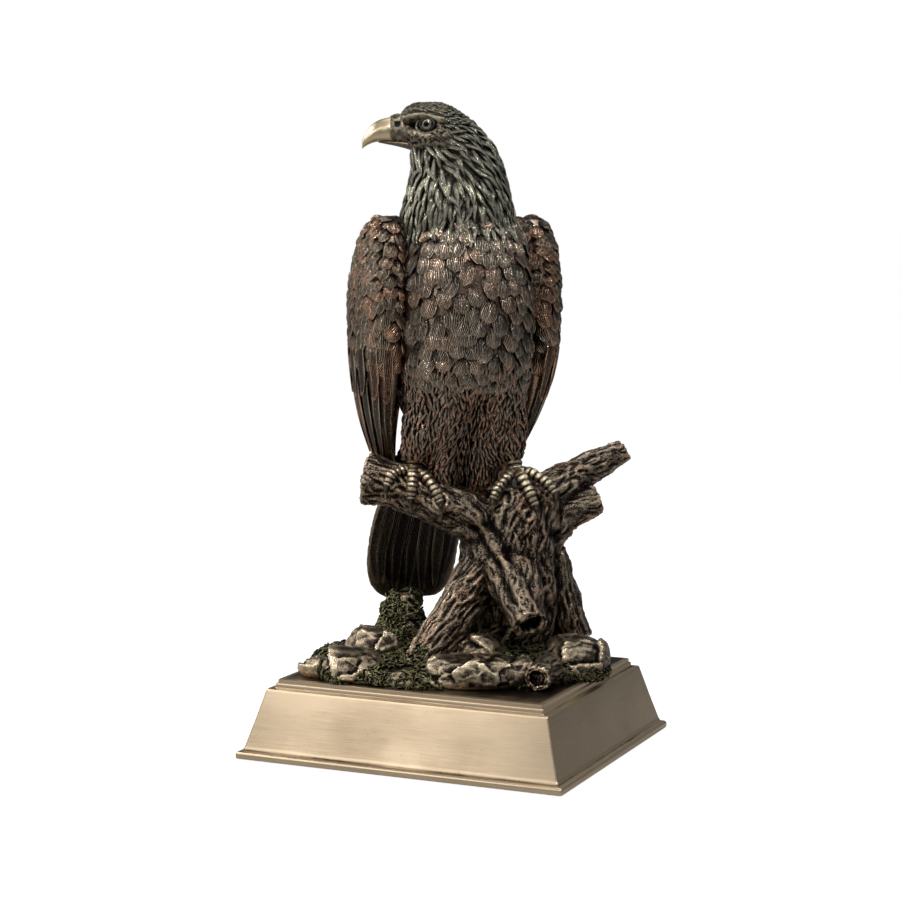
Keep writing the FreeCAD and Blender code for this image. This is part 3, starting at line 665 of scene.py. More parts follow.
@dataclass
class Skin:
    """A surface that feathers are laid on, with smooth normals."""

    piece: bpy.types.Object
    search: BVHTree = field(init=False)
    face_normals: Array = field(init=False)

    def __post_init__(self) -> None:
        """Make the search tree and each face's smoothed normal."""
        self.search = tree_of(self.piece)
        normals = normals_of(self.piece)
        normals = unit(eased(normals, edges_of(self.piece), 3))
        self.face_normals = np.array(
            [normals[list(face.vertices)].mean(0) for face in self.piece.data.polygons]
        )

    def snap(self, points: Array) -> tuple[Array, Array]:
        """The nearest points of the skin and the smooth normals there."""
        near = np.empty_like(points)
        faces = np.empty(len(points), int)
        for number, point in enumerate(points * MM):
            place, _, face, _ = self.search.find_nearest(Vector(point))
            near[number] = place
            faces[number] = face
        return near / MM, unit(self.face_normals[faces])

    def sprinkle(self, count: int, seed: int) -> tuple[Array, Array]:
        """Points spread evenly by area over the skin, and the normals there."""
        mesh = self.piece.data
        mesh.calc_loop_triangles()
        corners = np.empty(len(mesh.loop_triangles) * 3, np.int32)
        mesh.loop_triangles.foreach_get("vertices", corners)
        owners = np.empty(len(mesh.loop_triangles), np.int32)
        mesh.loop_triangles.foreach_get("polygon_index", owners)
        a, b, c = np.moveaxis(vertices_of(self.piece)[corners.reshape(-1, 3)], 1, 0)
        area = np.linalg.norm(np.cross(b - a, c - a), axis=1)
        dice = np.random.default_rng(seed)
        chosen = dice.choice(len(area), count, p=area / area.sum())
        u, v = dice.random((2, count))
        flip = u + v > 1
        u[flip], v[flip] = 1 - u[flip], 1 - v[flip]
        a, b, c = a[chosen], b[chosen], c[chosen]
        points = a + (b - a) * u[:, None] + (c - a) * v[:, None]
        return points, unit(self.face_normals[owners[chosen]])


def spaced(points: Array, ways: Array, along: Array, across: Array, most: int) -> Array:
    """Thin random points out, so that no two stand closer than a feather's own spacing.

    Args:
        points: Candidate points.
        ways: The direction in which each one's feather lies.
        along, across: Spacing at each point, in millimetres.
        most: The largest number to keep.

    Returns:
        The numbers of the points kept.
    """
    kept: list[int] = []
    held = np.empty((most, 3))
    for number, point in enumerate(points):
        if len(kept) == most:
            break
        gap = held[: len(kept)] - point
        lengthwise = gap @ ways[number]
        sideways = (gap * gap).sum(1) - lengthwise**2
        if len(kept) and ((lengthwise / along[number]) ** 2 + sideways / across[number] ** 2).min() < 1:
            continue
        held[len(kept)] = point
        kept.append(number)
    return np.array(kept)


@dataclass
class Coat:
    """One kind of feather over a region: its sizes and lie are fields of the place."""

    name: str
    region: Field
    flow: Field
    length: Field
    width: Field
    lift: float
    seed: int
    most: int
    packing: tuple[float, float] = (0.56, 0.78)
    jitter: float = 0.12
    curl: float = 0.0
    sink: float = 0.6
    wave: float = 0.0

    def lay(self, skin: Skin, template: Template) -> bpy.types.Object:
        """Stamp the coat's feathers on a skin.

        Args:
            skin: The surface they lie on.
            template: The feather.

        Returns:
            All of the coat's feathers as one piece.
        """
        dice = np.random.default_rng(self.seed)
        points, normals = skin.sprinkle(self.most * 16, self.seed)
        wanted = self.region(points) > dice.random(len(points))
        points, normals = points[wanted], normals[wanted]
        ways = self.flow(points)
        ways = unit(ways - normals * (ways * normals).sum(1, keepdims=True))
        length, width = self.length(points), self.width(points)
        kept = spaced(points, ways, length * self.packing[0], width * self.packing[1], self.most)
        points, normals, ways = points[kept], normals[kept], ways[kept]
        length, width = length[kept], width[kept]
        count = len(points)
        turn = dice.normal(0.0, self.jitter, count)[:, None]
        sides = np.cross(normals, ways)
        ways = ways * np.cos(turn) + sides * np.sin(turn)
        sides = np.cross(normals, ways)
        length = length * dice.uniform(0.88, 1.14, count)
        width = width * dice.uniform(0.9, 1.12, count)
        s = template.across * template.blade.half_width(template.along)
        t = template.along
        bend = dice.normal(0.0, 1.0, count)[:, None] * self.curl * (t**2)[None, :]
        phase = dice.random(count)[:, None] * 6.28
        bend = bend + self.wave * np.sin(t[None, :] * 7.0 + phase) * t[None, :]
        places = (
            (points - ways * (length * 0.22)[:, None])[:, None, :]
            + ways[:, None, :] * (length[:, None] * t[None, :])[:, :, None]
            + sides[:, None, :] * (width[:, None] / 2 * s[None, :] + bend * length[:, None])[:, :, None]
        )
        scale = width[:, None] / np.median(width)
        heights = self.heights(template, scale, dice.uniform(0.75, 1.3, count)[:, None])
        return place_copies(self.name, template, skin, places, heights, dice.random(count))

    def heights(self, template: Template, scale: Array, spring: Array) -> Array:
        """How far each vertex of each feather stands off the skin."""
        blade, t = template.blade, template.along[None, :]
        rise = -self.sink + (self.sink + self.lift * spring) * np.sin(np.clip(t * 1.25, 0, 1) * math.pi / 2)
        rise = rise - 0.35 * self.lift * smooth_step(0.8, 1.0, t)
        arch = blade.crown * (1 - template.across[None, :] ** 2) * np.sin(math.pi * np.clip(t, 0.02, 0.96))
        quill = blade.shaft * (np.abs(template.across[None, :]) < 0.1) * (1 - t)
        top = rise + (arch + quill) * scale
        return np.where(template.under[None, :], np.minimum(top - blade.thick, rise - blade.thick), top)


def place_copies(
    name: str, template: Template, skin: Skin, places: Array, heights: Array, tones: Array
) -> bpy.types.Object:
    """Array a feather and lay every copy on a skin.

    Args:
        name: Name of the new piece.
        template: The feather.
        skin: The surface it lies on.
        places: For each copy and each vertex, a point near the skin.
        heights: For each copy and each vertex, its height over the skin.
        tones: One random number for each copy.

    Returns:
        The new piece, with its marks for the finishes.
    """
    count, size = heights.shape
    clear_selection()
    piece = template.piece.copy()
    piece.data = template.piece.data.copy()
    piece.name = name
    bpy.context.scene.collection.objects.link(piece)
    apply_modifier(piece, "ARRAY", count=count, relative_offset_displace=(1.5, 0, 0))
    near, normals = skin.snap(places.reshape(-1, 3))
    move_vertices(piece, near + normals * heights.reshape(-1, 1))
    t, s = template.along, template.across
    shade = 0.04 + 0.54 * t**1.2 + 0.34 * (np.abs(s) > 0.9) * (t > 0.4) + 0.16 * (np.abs(s) < 0.1)
    if template.blade is BLADES[Plume.VANE]:
        shade = 0.2 + 0.44 * (np.abs(s) > 0.9) + 0.24 * (np.abs(s) < 0.1) + 0.26 * (t > 0.93)
    elif template.blade is not BLADES[Plume.SCALE]:
        shade = 0.02 + 0.3 * t + 0.5 * (1 - s**2)
    shade = np.where(template.under, 0.05, shade)
    shades = np.tile(shade, count).reshape(count, size) + (tones[:, None] - 0.5) * 0.16
    mark(piece, "relief_and_painted_light", np.clip(shades, 0, 1).ravel())
    mark(piece, "tone", np.repeat(tones, size))
    mark(piece, "across", np.tile(s, count))
    mark(piece, "along", np.tile(t, count))
    return piece


def ring_at(rings: Sequence[Sequence[float]], height: float) -> Array:
    """The centre and half sizes of a lofted form at a height, smoothly between its sections."""
    table = np.array(rings)
    return np.array([np.interp(height, table[:, 2], table[:, column]) for column in (0, 1, 3, 4)])


# ------------------------------------------------------------------------------------ finishes in use


PLUMAGE = Patina(
    "plumage_patina", (0.004, 0.003, 0.0025), (0.062, 0.05, 0.041), (0.8, 0.67, 0.52),
    (1.18, 0.9, 0.8), 0.5,
    metal=0.96, rough_body=0.32, rough_rubbed=0.22, low=0.3, high=0.8, barbs=0.6, barb_count=21.0,
    speckle=0.3, grain_height=0.18,
)
WING_COPPER = Patina(
    "wing_patina", (0.004, 0.003, 0.0025), (0.075, 0.055, 0.042), (0.8, 0.65, 0.47),
    (1.32, 0.84, 0.72), 0.55,
    metal=0.96, rough_body=0.32, rough_rubbed=0.22, low=0.32, high=0.78, barbs=0.42, barb_count=22.0,
    speckle=0.26, grain_height=0.18,
)
BELLY = Patina(
    "belly_patina", (0.003, 0.002, 0.002), (0.034, 0.025, 0.02), (0.52, 0.41, 0.31),
    (1.35, 0.82, 0.7), 0.5,
    metal=0.94, rough_body=0.34, rough_rubbed=0.24, low=0.34, high=0.84, speckle=0.26,
)
TAIL_DARK = Patina(
    "tail_patina", (0.004, 0.0035, 0.003), (0.028, 0.023, 0.018), (0.42, 0.34, 0.24),
    (1.2, 0.9, 0.75), 0.3,
    metal=0.95, rough_body=0.38, rough_rubbed=0.28, low=0.36, high=0.95, barbs=0.5, barb_count=30.0,
    speckle=0.3,
)
VERDIGRIS = Patina(
    "head_verdigris", (0.004, 0.004, 0.0035), (0.062, 0.06, 0.05), (0.74, 0.69, 0.55),
    (0.94, 1.0, 0.9), 0.5,
    metal=0.94, rough_body=0.33, rough_rubbed=0.23, low=0.32, high=0.8, barbs=0.16, barb_count=14.0,
    speckle=0.24, grain_height=0.18,
)
CERE = Patina(
    "cere_patina", (0.005, 0.004, 0.003), (0.034, 0.028, 0.021), (0.36, 0.3, 0.22),
    (0.8, 0.95, 0.8), 0.4,
    rough_body=0.38, rough_rubbed=0.28, low=0.46, high=1.0, speckle=0.3, grain=0.7, grain_height=0.2,
)
BARK = Patina(
    "bark_patina", (0.004, 0.003, 0.0025), (0.034, 0.026, 0.02), (0.76, 0.6, 0.43),
    (1.25, 0.86, 0.7), 0.45,
    metal=0.95, rough_body=0.34, rough_rubbed=0.24, low=0.5, high=1.06, speckle=0.55, grain=0.6,
    grain_height=0.24,
)
ROCK = Patina(
    "rock_patina", (0.006, 0.0045, 0.003), (0.046, 0.034, 0.025), (0.86, 0.7, 0.49),
    (0.55, 0.5, 0.45), 0.5,
    metal=0.95, rough_body=0.36, rough_rubbed=0.26, low=0.48, high=0.98, patch=12.0, speckle=0.36,
    grain=0.5, grain_height=0.16,
)
MOSS = Patina(
    "moss_patina", (0.003, 0.003, 0.002), (0.024, 0.022, 0.012), (0.46, 0.41, 0.22),
    (0.8, 1.06, 0.6), 0.6,
    metal=0.8, rough_body=0.44, rough_rubbed=0.3, low=0.36, high=0.92, patch=9.0, speckle=0.3,
)
EARTH = Patina(
    "earth_patina", (0.004, 0.003, 0.002), (0.028, 0.022, 0.015), (0.5, 0.4, 0.26),
    (0.8, 1.0, 0.7), 0.4,
    metal=0.92, rough_body=0.4, rough_rubbed=0.3, low=0.5, high=1.0, speckle=0.5, grain=0.8,
    grain_height=0.3,
)
FOOT_BRONZE = Patina(
    "foot_patina", (0.004, 0.003, 0.002), (0.062, 0.048, 0.034), (0.76, 0.64, 0.45),
    (0.6, 0.5, 0.42), 0.4,
    metal=0.95, rough_body=0.38, rough_rubbed=0.28, low=0.34, high=0.86, speckle=0.3, grain=0.7,
)
BEAK_GOLD = Patina(
    "beak_gold", (0.2, 0.14, 0.07), (0.6, 0.46, 0.29), (0.82, 0.67, 0.45), (0.85, 0.72, 0.6), 0.4,
    metal=1.0, rough_body=0.38, rough_rubbed=0.33, low=0.25, high=0.85, speckle=0.14, grain_height=0.04,
)
EYE_FINISH = Patina(
    "eye_patina", (0.004, 0.003, 0.003), (0.03, 0.024, 0.018), (0.5, 0.45, 0.35),
    (0.8, 0.8, 0.7), 0.2,
    rough_body=0.25, rough_rubbed=0.24, speckle=0.03, grain_height=0.02,
)


@dataclass(frozen=True)
class Brushed:
    """Brushed or satin metal and board, with fine lines along the level and slow changes of tone."""

    name: str
    light: Colour
    dark: Colour
    metal: float = 1.0
    rough: tuple[float, float] = (0.26, 0.42)
    line: tuple[float, float, float] = (60.0, 60.0, 1.0)
    grain: float = 0.35
    depth: float = 0.02
    patch: float = 26.0
    edged: bool = False
    darkest_tone: Colour = (0.02, 0.014, 0.009)

    def make(self) -> bpy.types.Material:
        """Build the finish's node material."""
        material = bpy.data.materials.get(self.name) or bpy.data.materials.new(self.name)
        material.use_nodes = True
        desk = NodeDesk(material)
        brush = desk.noise(self.grain, 3.0, self.line)
        cloud = desk.noise(self.patch, 4.0)
        pits = desk.noise(1.4, 5.0)
        wear_and_painted_light = desk.maths("ADD", desk.maths("MULTIPLY", cloud, 0.65), desk.maths("MULTIPLY", brush, 0.35))
        wear_and_painted_light = desk.maths("ADD", wear_and_painted_light, desk.maths("MULTIPLY", desk.span(pits, 0.6, 0.75), -0.12))
        # On the plinth, a per-vertex value shifts the colour: painted highlights on rounded edges, painted
        # shade in grooves, and a darker deck top.
        if self.edged:
            painted_edge_light = desk.add("ShaderNodeAttribute", attribute_name="painted_edge_light").outputs["Fac"]
            wear_and_painted_light = desk.maths("ADD", wear_and_painted_light, desk.maths("MULTIPLY", desk.maths("SUBTRACT", painted_edge_light, 0.5), 0.5))
        # The ramp's darkest stop is reached by the plinth's deck top and by the deepest noise.
        colour = desk.ramp(wear_and_painted_light, ((0.12, self.darkest_tone), (0.36, self.dark), (0.62, self.light)))
        desk.link(colour, desk.shader.inputs["Base Color"])
        desk.link(desk.span(wear_and_painted_light, 0.3, 0.65, self.rough[1], self.rough[0]), desk.shader.inputs["Roughness"])
        desk.shader.inputs["Metallic"].default_value = self.metal
        bump = desk.bump(brush, self.depth * MM)
        desk.link(desk.bump(pits, self.depth * MM * 2, bump), desk.shader.inputs["Normal"])
        return material


PLINTH_BRASS = Brushed(
    "plinth_brass", (0.7, 0.55, 0.38), (0.56, 0.43, 0.29), 1.0, (0.32, 0.42),
    (40.0, 40.0, 1.0), 0.4, 0.005, 40.0, True,
)
BOARD = Brushed(
    "board_fibre", (0.1, 0.07, 0.045), (0.05, 0.035, 0.02), 0.0, (0.6, 0.8),
    (1.0, 20.0, 1.0), 0.8, 0.1,
)
FELT = Brushed(
    "green_felt", (0.02, 0.055, 0.03), (0.01, 0.03, 0.016), 0.0, (0.9, 1.0),
    (1.0, 1.0, 1.0), 0.5, 0.5,
)
STEEL = Brushed(
    "zinc_steel", (0.56, 0.56, 0.54), (0.34, 0.34, 0.33), 1.0, (0.28, 0.45),
    (1.0, 1.0, 1.0), 0.7, 0.03,
)


def dress(piece: bpy.types.Object, finish: Patina | Brushed) -> None:
    """Give a piece one finish."""
    if not piece.material_slots:
        piece.data.materials.append(finish.make())
    for place in piece.material_slots:
        place.link = "OBJECT" if piece.name in bpy.data.objects and piece.parent else "DATA"
        place.material = finish.make()


def settle(piece: bpy.types.Object, finish: Patina | Brushed, slot: str, *nodes: str) -> None:
    """Dress a new piece, attach it to the body that it rides on, and hide the castings that it stands for.

    Args:
        piece: The finished mesh.
        finish: Its finish.
        slot: The record's material slot; not used.
        nodes: The castings that it stands for, if any.
    """
    piece.data.materials.clear()
    piece.data.materials.append(finish.make())
    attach(piece, BODY)
    if nodes:
        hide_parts(*nodes)
    triangles = sum(len(face.vertices) - 2 for face in piece.data.polygons)
    LOG.info("%s: %d triangles", piece.name, triangles)


# ------------------------------------------------------------------------------------ the eagle


@dataclass
class Eagle:
    """The bird's castings under their feathers; heights are over the perch."""

    perch: float
    patterns: dict[Plume, Template]
    vent: float = 12.0
    breast_scale: float = 12.4
    plugs: tuple[str, ...] = ("neck_dowel", "wing_dowels", "tail_dowel")

    def local(self, points: Array) -> Array:
        """Row points in the eagle's frame, with heights over the perch."""
        return into_frame(points, EAGLE_YAW, EAGLE_SHIFT) - np.array([0, 0, self.perch])

    def gaze(self, points: Array) -> Array:
        """Row points in the head's frame, with heights over the perch."""
        return into_frame(points, ROCK_YAW) - np.array([0, 0, self.perch])

    def down(self, points: Array) -> Array:
        """Body feathers lie down and a little outward from the breast's middle."""
        place = self.local(points)
        lean = np.clip(place[:, 0] / 40.0, -1, 1) * 0.35
        return out_of_frame(np.stack([lean, 0 * lean, -1.0 + 0 * lean], 1), EAGLE_YAW)

    def build(self) -> None:
        """Make the body, wings and tail, and the feathers of the body, neck and face."""
        torso = cast_skin("eagle_body", ["torso", *self.plugs], 1.3, 2)
        self.model_breast(torso)
        form = cast_skin("bird_form", ["torso", "head", *self.plugs], 1.1, 3)
        points = vertices_of(form)
        neck = smooth_step(112, 124, self.gaze(points)[:, 2])
        move_vertices(form, points - normals_of(form) * (1.1 * neck)[:, None])
        self.feather_body(Skin(torso), Skin(form))
        bpy.data.objects.remove(form)
        mark_relief(torso, 6, 0.5)
        settle(torso, BELLY, "plumage_bronze", "torso")
        for side, word in ((-1, "right"), (1, "left")):
            Wing(self, side, word).build()
        Tail(self.perch, self.patterns).build()

    def valley(self, place: Array) -> Array:
        """How deep in the seam between a wing and the breast a point lies, from 0 to 1."""
        return np.exp(-(((np.abs(place[:, 0]) - 29.5) / 2.6) ** 2)) * (place[:, 1] < 4)

    def model_breast(self, torso: bpy.types.Object) -> None:
        """Roll the plain form: a soft keel, and lumps under the thigh feathers."""
        points = vertices_of(torso)
        place = self.local(points)
        belly = smooth_step(70, 30, place[:, 2])
        swell = fractal(place, 9.0, 2) * (0.35 + 0.7 * belly)
        points = points + normals_of(torso) * (swell - 0.5)[:, None]
        between = np.exp(-((place[:, 0] / 7.5) ** 2)) * smooth_step(48, 24, place[:, 2]) * (place[:, 1] < 2)
        points += out_of_frame(np.array([[0.0, 1.0, 0.0]]), EAGLE_YAW) * (12.0 * between)[:, None]
        points -= normals_of(torso) * (1.6 * self.valley(place))[:, None]
        points[:, 2] -= self.vent * smooth_step(15, -1, place[:, 2]) * (np.abs(place[:, 0]) < 17)
        move_vertices(torso, points)
        apply_modifier(torso, "SMOOTH", factor=0.5, iterations=2)

    def feather_body(self, torso: Skin, form: Skin) -> None:
        """Breast scales, back scales, belly tufts, thigh tufts and neck hackles."""
        scale = self.patterns[Plume.SCALE]

        def breast_region(points: Array) -> Array:
            """The breast and the back between the wings."""
            place = self.local(points)
            height = place[:, 2]
            return ((height > 46) & (height < 124) & (np.abs(place[:, 0]) < 28.5)).astype(float)

        def breast_length(points: Array) -> Array:
            """Feathers are shorter toward the belly."""
            height = self.local(points)[:, 2]
            return self.breast_scale * (0.72 + 0.28 * smooth_step(45, 75, height))

        def breast_width(points: Array) -> Array:
            """Feathers keep their proportion."""
            return breast_length(points) * 0.62

        breast = Coat(
            "breast_feathers", breast_region, self.down, breast_length, breast_width,
            lift=1.8, seed=11, most=1300, packing=(0.5, 0.76), jitter=0.24, curl=0.05,
        ).lay(torso, scale)
        settle(breast, PLUMAGE, "plumage_bronze")

        def belly_region(points: Array) -> Array:
            """The belly and both thighs."""
            place = self.local(points)
            return (place[:, 2] < 56).astype(float)

        def belly_flow(points: Array) -> Array:
            """Tufts hang, with a swirl."""
            place = self.local(points)
            swirl = fractal(place, 16.0, 2, 3.0)
            lean = np.clip(place[:, 0] / 30.0, -1, 1) * 0.25 + swirl * 0.5
            return out_of_frame(np.stack([lean, 0 * lean, -1.0 + 0 * lean], 1), EAGLE_YAW)

        def tuft_length(points: Array) -> Array:
            """Tufts are shorter toward the feet."""
            height = self.local(points)[:, 2]
            return 7.2 + 2.2 * smooth_step(25, 50, height)

        def tuft_width(points: Array) -> Array:
            """Tufts keep their proportion."""
            return tuft_length(points) * 0.24

        tufts = Coat(
            "belly_tufts", belly_region, belly_flow, tuft_length, tuft_width,
            lift=1.2, seed=12, most=3200, packing=(0.42, 0.8), jitter=0.26, curl=0.1, sink=0.5, wave=0.03,
        ).lay(torso, self.patterns[Plume.HACKLE])
        settle(tufts, BELLY, "plumage_bronze")

        def neck_region(points: Array) -> Array:
            """The neck, ragged at its lower edge, and the head behind the face."""
            place = self.gaze(points)
            face = (place[:, 0] < -8) & (place[:, 2] > 155)
            low = place[:, 2] > 116 + 4.5 * fractal(place, 9.0, 2, 5.0)
            return (low & (place[:, 2] < 176) & ~face).astype(float)

        def neck_flow(points: Array) -> Array:
            """Strands sweep back from the beak and then hang."""
            place = self.gaze(points)
            drop = smooth_step(176, 140, place[:, 2])
            back = 1.2 - 1.05 * smooth_step(166, 122, place[:, 2])
            throat = smooth_step(-4, -14, place[:, 0]) * smooth_step(160, 150, place[:, 2])
            sway = fractal(place, 11.0, 2, 9.0) * 0.4
            return out_of_frame(np.stack([back * (1 - throat) + sway, sway, -0.1 - drop], 1), ROCK_YAW)

        def hackle_length(points: Array) -> Array:
            """Strands grow longer down the neck."""
            height = self.gaze(points)[:, 2]
            return 4.2 + 9.3 * smooth_step(172, 150, height)

        def hackle_width(points: Array) -> Array:
            """Strands grow wider down the neck."""
            height = self.gaze(points)[:, 2]
            return 1.4 + 1.25 * smooth_step(172, 145, height)

        hackles = Coat(
            "neck_hackles", neck_region, neck_flow, hackle_length, hackle_width,
            lift=1.3, seed=13, most=2600, packing=(0.4, 0.7), jitter=0.22, curl=0.1, sink=0.5, wave=0.04,
        ).lay(form, self.patterns[Plume.HACKLE])
        settle(hackles, VERDIGRIS, "head_bronze")

        def face_region(points: Array) -> Array:
            """The crown and the cheek, clear of the eye."""
            place = self.gaze(points)
            eye = np.array([Head.eye[0], 0.0, Head.eye[2]])
            off = np.linalg.norm((place - eye) * np.array([0.8, 0.0, 1.0]), axis=1)
            crown = place[:, 2] > 169.2
            cheek = (off > 5.6) & (place[:, 0] > -17 - 0.6 * (164 - place[:, 2]))
            near = (place[:, 0] < -6) & (place[:, 0] > -25) & (place[:, 2] > 151)
            bare = (place[:, 2] >= 163) & (place[:, 0] <= -8)
            return (near & (crown | (cheek & ~bare))).astype(float)

        face = Coat(
            "face_strands", face_region, neck_flow, everywhere(3.4), everywhere(1.15),
            lift=0.5, seed=14, most=700, packing=(0.5, 0.85), jitter=0.25, curl=0.08, sink=0.35, wave=0.03,
        ).lay(form, self.patterns[Plume.WISP])
        settle(face, VERDIGRIS, "head_bronze")


@dataclass
class Wing:
    """A folded wing: small coverts over the shoulder, then three tiers of long vanes."""

    eagle: Eagle
    side: int
    word: str
    rings: tuple[tuple[float, ...], ...] = (
        (28, 31, -12, 3.6, 9),
        (31, 27, 8, 5, 14),
        (34.5, 22, 25, 8, 18.5),
        (36.5, 16, 46, 11, 23),
        (37.5, 13, 70, 12.5, 25),
        (37.5, 11, 94, 12.3, 23),
        (36, 8, 112, 10.5, 17),
        (35, 6, 119, 8, 12),
        (34.5, 5, 122, 4.5, 7),
    )

    def surface(self, turn: Array, height: Array) -> Array:
        """Points of the wing's loft.

        Args:
            turn: Angle round a section, 0 at its outermost point and positive to the back.
            height: Height over the perch.

        Returns:
            Points in the row frame.
        """
        middle = np.array([ring_at(self.rings, level) for level in height.ravel()])
        middle = middle.reshape(*height.shape, 4)
        across = self.side * (middle[..., 0] + middle[..., 2] * np.cos(turn))
        back = middle[..., 1] + middle[..., 3] * np.sin(turn)
        flat = np.stack([across, back, height + self.eagle.perch], -1)
        return out_of_frame(flat, EAGLE_YAW) + np.array([EAGLE_SHIFT, 0, 0])

    def flow(self, points: Array) -> Array:
        """Feathers run down the wing and drift to the back."""
        place = self.eagle.local(points)
        way = np.tile(np.array([self.side * 0.3, 0.22, -1.0]), (len(points), 1))
        way[:, 0] += (place[:, 0] - self.side * 35.0) * 0.12 * smooth_step(112, 120, place[:, 2])
        return out_of_frame(way, EAGLE_YAW)

    def build(self) -> None:
        """Make the wing's skin, its coverts and its vanes."""
        piece = cast_skin(f"{self.word}_wing_form", [f"{self.word}_wing"], 1.1, 3)
        points = vertices_of(piece)
        seam = self.eagle.valley(self.eagle.local(points))
        move_vertices(piece, points - normals_of(piece) * (0.8 + 1.8 * seam)[:, None])
        skin = Skin(piece)

        def height_of(points: Array) -> Array:
            """Heights over the perch."""
            return points[:, 2] - self.eagle.perch

        def small(points: Array) -> Array:
            """The shoulder, outside the seam with the breast."""
            place = self.eagle.local(points)
            inner = (np.abs(place[:, 0]) < 31.0) & (place[:, 1] < 4) & (place[:, 2] < 110)
            return ((place[:, 2] > 58 + 3 * np.sin(place[:, 1])) & ~inner).astype(float)

        def covert_length(points: Array) -> Array:
            """Coverts are longer toward the vanes."""
            return 14.0 - 5.2 * smooth_step(60, 90, height_of(points))

        def covert_width(points: Array) -> Array:
            """Coverts are wider toward the vanes."""
            return 8.2 - 2.2 * smooth_step(60, 92, height_of(points))

        coverts = Coat(
            f"{self.word}_wing_coverts", small, self.flow, covert_length, covert_width,
            lift=2.0, seed=21 + self.side, most=1100, packing=(0.42, 0.6), jitter=0.22,
        ).lay(skin, self.eagle.patterns[Plume.SCALE])
        settle(coverts, WING_COPPER, "plumage_bronze")
        tiers = (
            ("inner_vanes", 34.0, -15.0, 12, -0.7, 1.0),
            ("flight_vanes", 54.0, 4.0, 10, 0.2, 2.1),
            ("greater_coverts", 68.0, 34.0, 10, 0.8, 2.8),
        )
        for number, (word, top, bottom, count, low, high) in enumerate(tiers):
            vanes = self.vanes(skin, f"{self.word}_{word}", top, bottom, count, low, high, 31 + number)
            settle(vanes, WING_COPPER, "plumage_bronze")
        mark_relief(piece, 6, 0.6)
        settle(piece, BELLY, "plumage_bronze", f"{self.word}_wing")

    def vanes(
        self, skin: Skin, name: str, top: float, bottom: float, count: int, low: float, high: float,
        seed: int,
    ) -> bpy.types.Object:
        """One tier of long feathers side by side round the wing.

        Args:
            skin: The wing's surface.
            name: Name of the tier.
            top, bottom: Heights over the perch of the quills and of the tips.
            count: Number of feathers.
            low, high: Height off the skin at a feather's back edge and at its front edge.
            seed: Seed of the small differences between them.

        Returns:
            The tier as one piece.
        """
        template = self.eagle.patterns[Plume.VANE]
        dice = np.random.default_rng(seed)
        turns = np.linspace(-1.25, 2.75, count)
        step = turns[1] - turns[0]
        s, t = template.across, template.along
        widths = template.blade.half_width(t) * s
        ends = bottom + dice.uniform(-1.5, 1.5, count) + 4.0 * np.cos(np.linspace(-1.4, 1.4, count))
        tops = top + dice.uniform(-2, 2, count)
        height = tops[:, None] + (ends - tops)[:, None] * t[None, :]
        sway = dice.uniform(-0.03, 0.03, count)[:, None] * t[None, :]
        turn = turns[:, None] + step * 0.6 * widths[None, :] + sway
        places = self.surface(turn, height)
        edge = low + (high - low) * (0.5 - 0.5 * s)[None, :]
        edge = edge - 3.4 * (1 - smooth_step(0.0, 0.24, t))[None, :]
        spring = 0.25 * np.sin(np.clip(t, 0, 1) * math.pi)[None, :]
        quill = template.blade.shaft * (np.abs(s) < 0.15)[None, :]
        barb = 0.1 * np.sin(s * 16.0)[None, :] * (t < 0.96)[None, :]
        tops_high = edge + spring + quill + barb + 0.35 * (1 - s**2)[None, :]
        heights = np.where(template.under[None, :], tops_high - template.blade.thick, tops_high)
        heights = heights * np.ones((count, 1))
        return place_copies(name, template, skin, places, heights, dice.random(count))


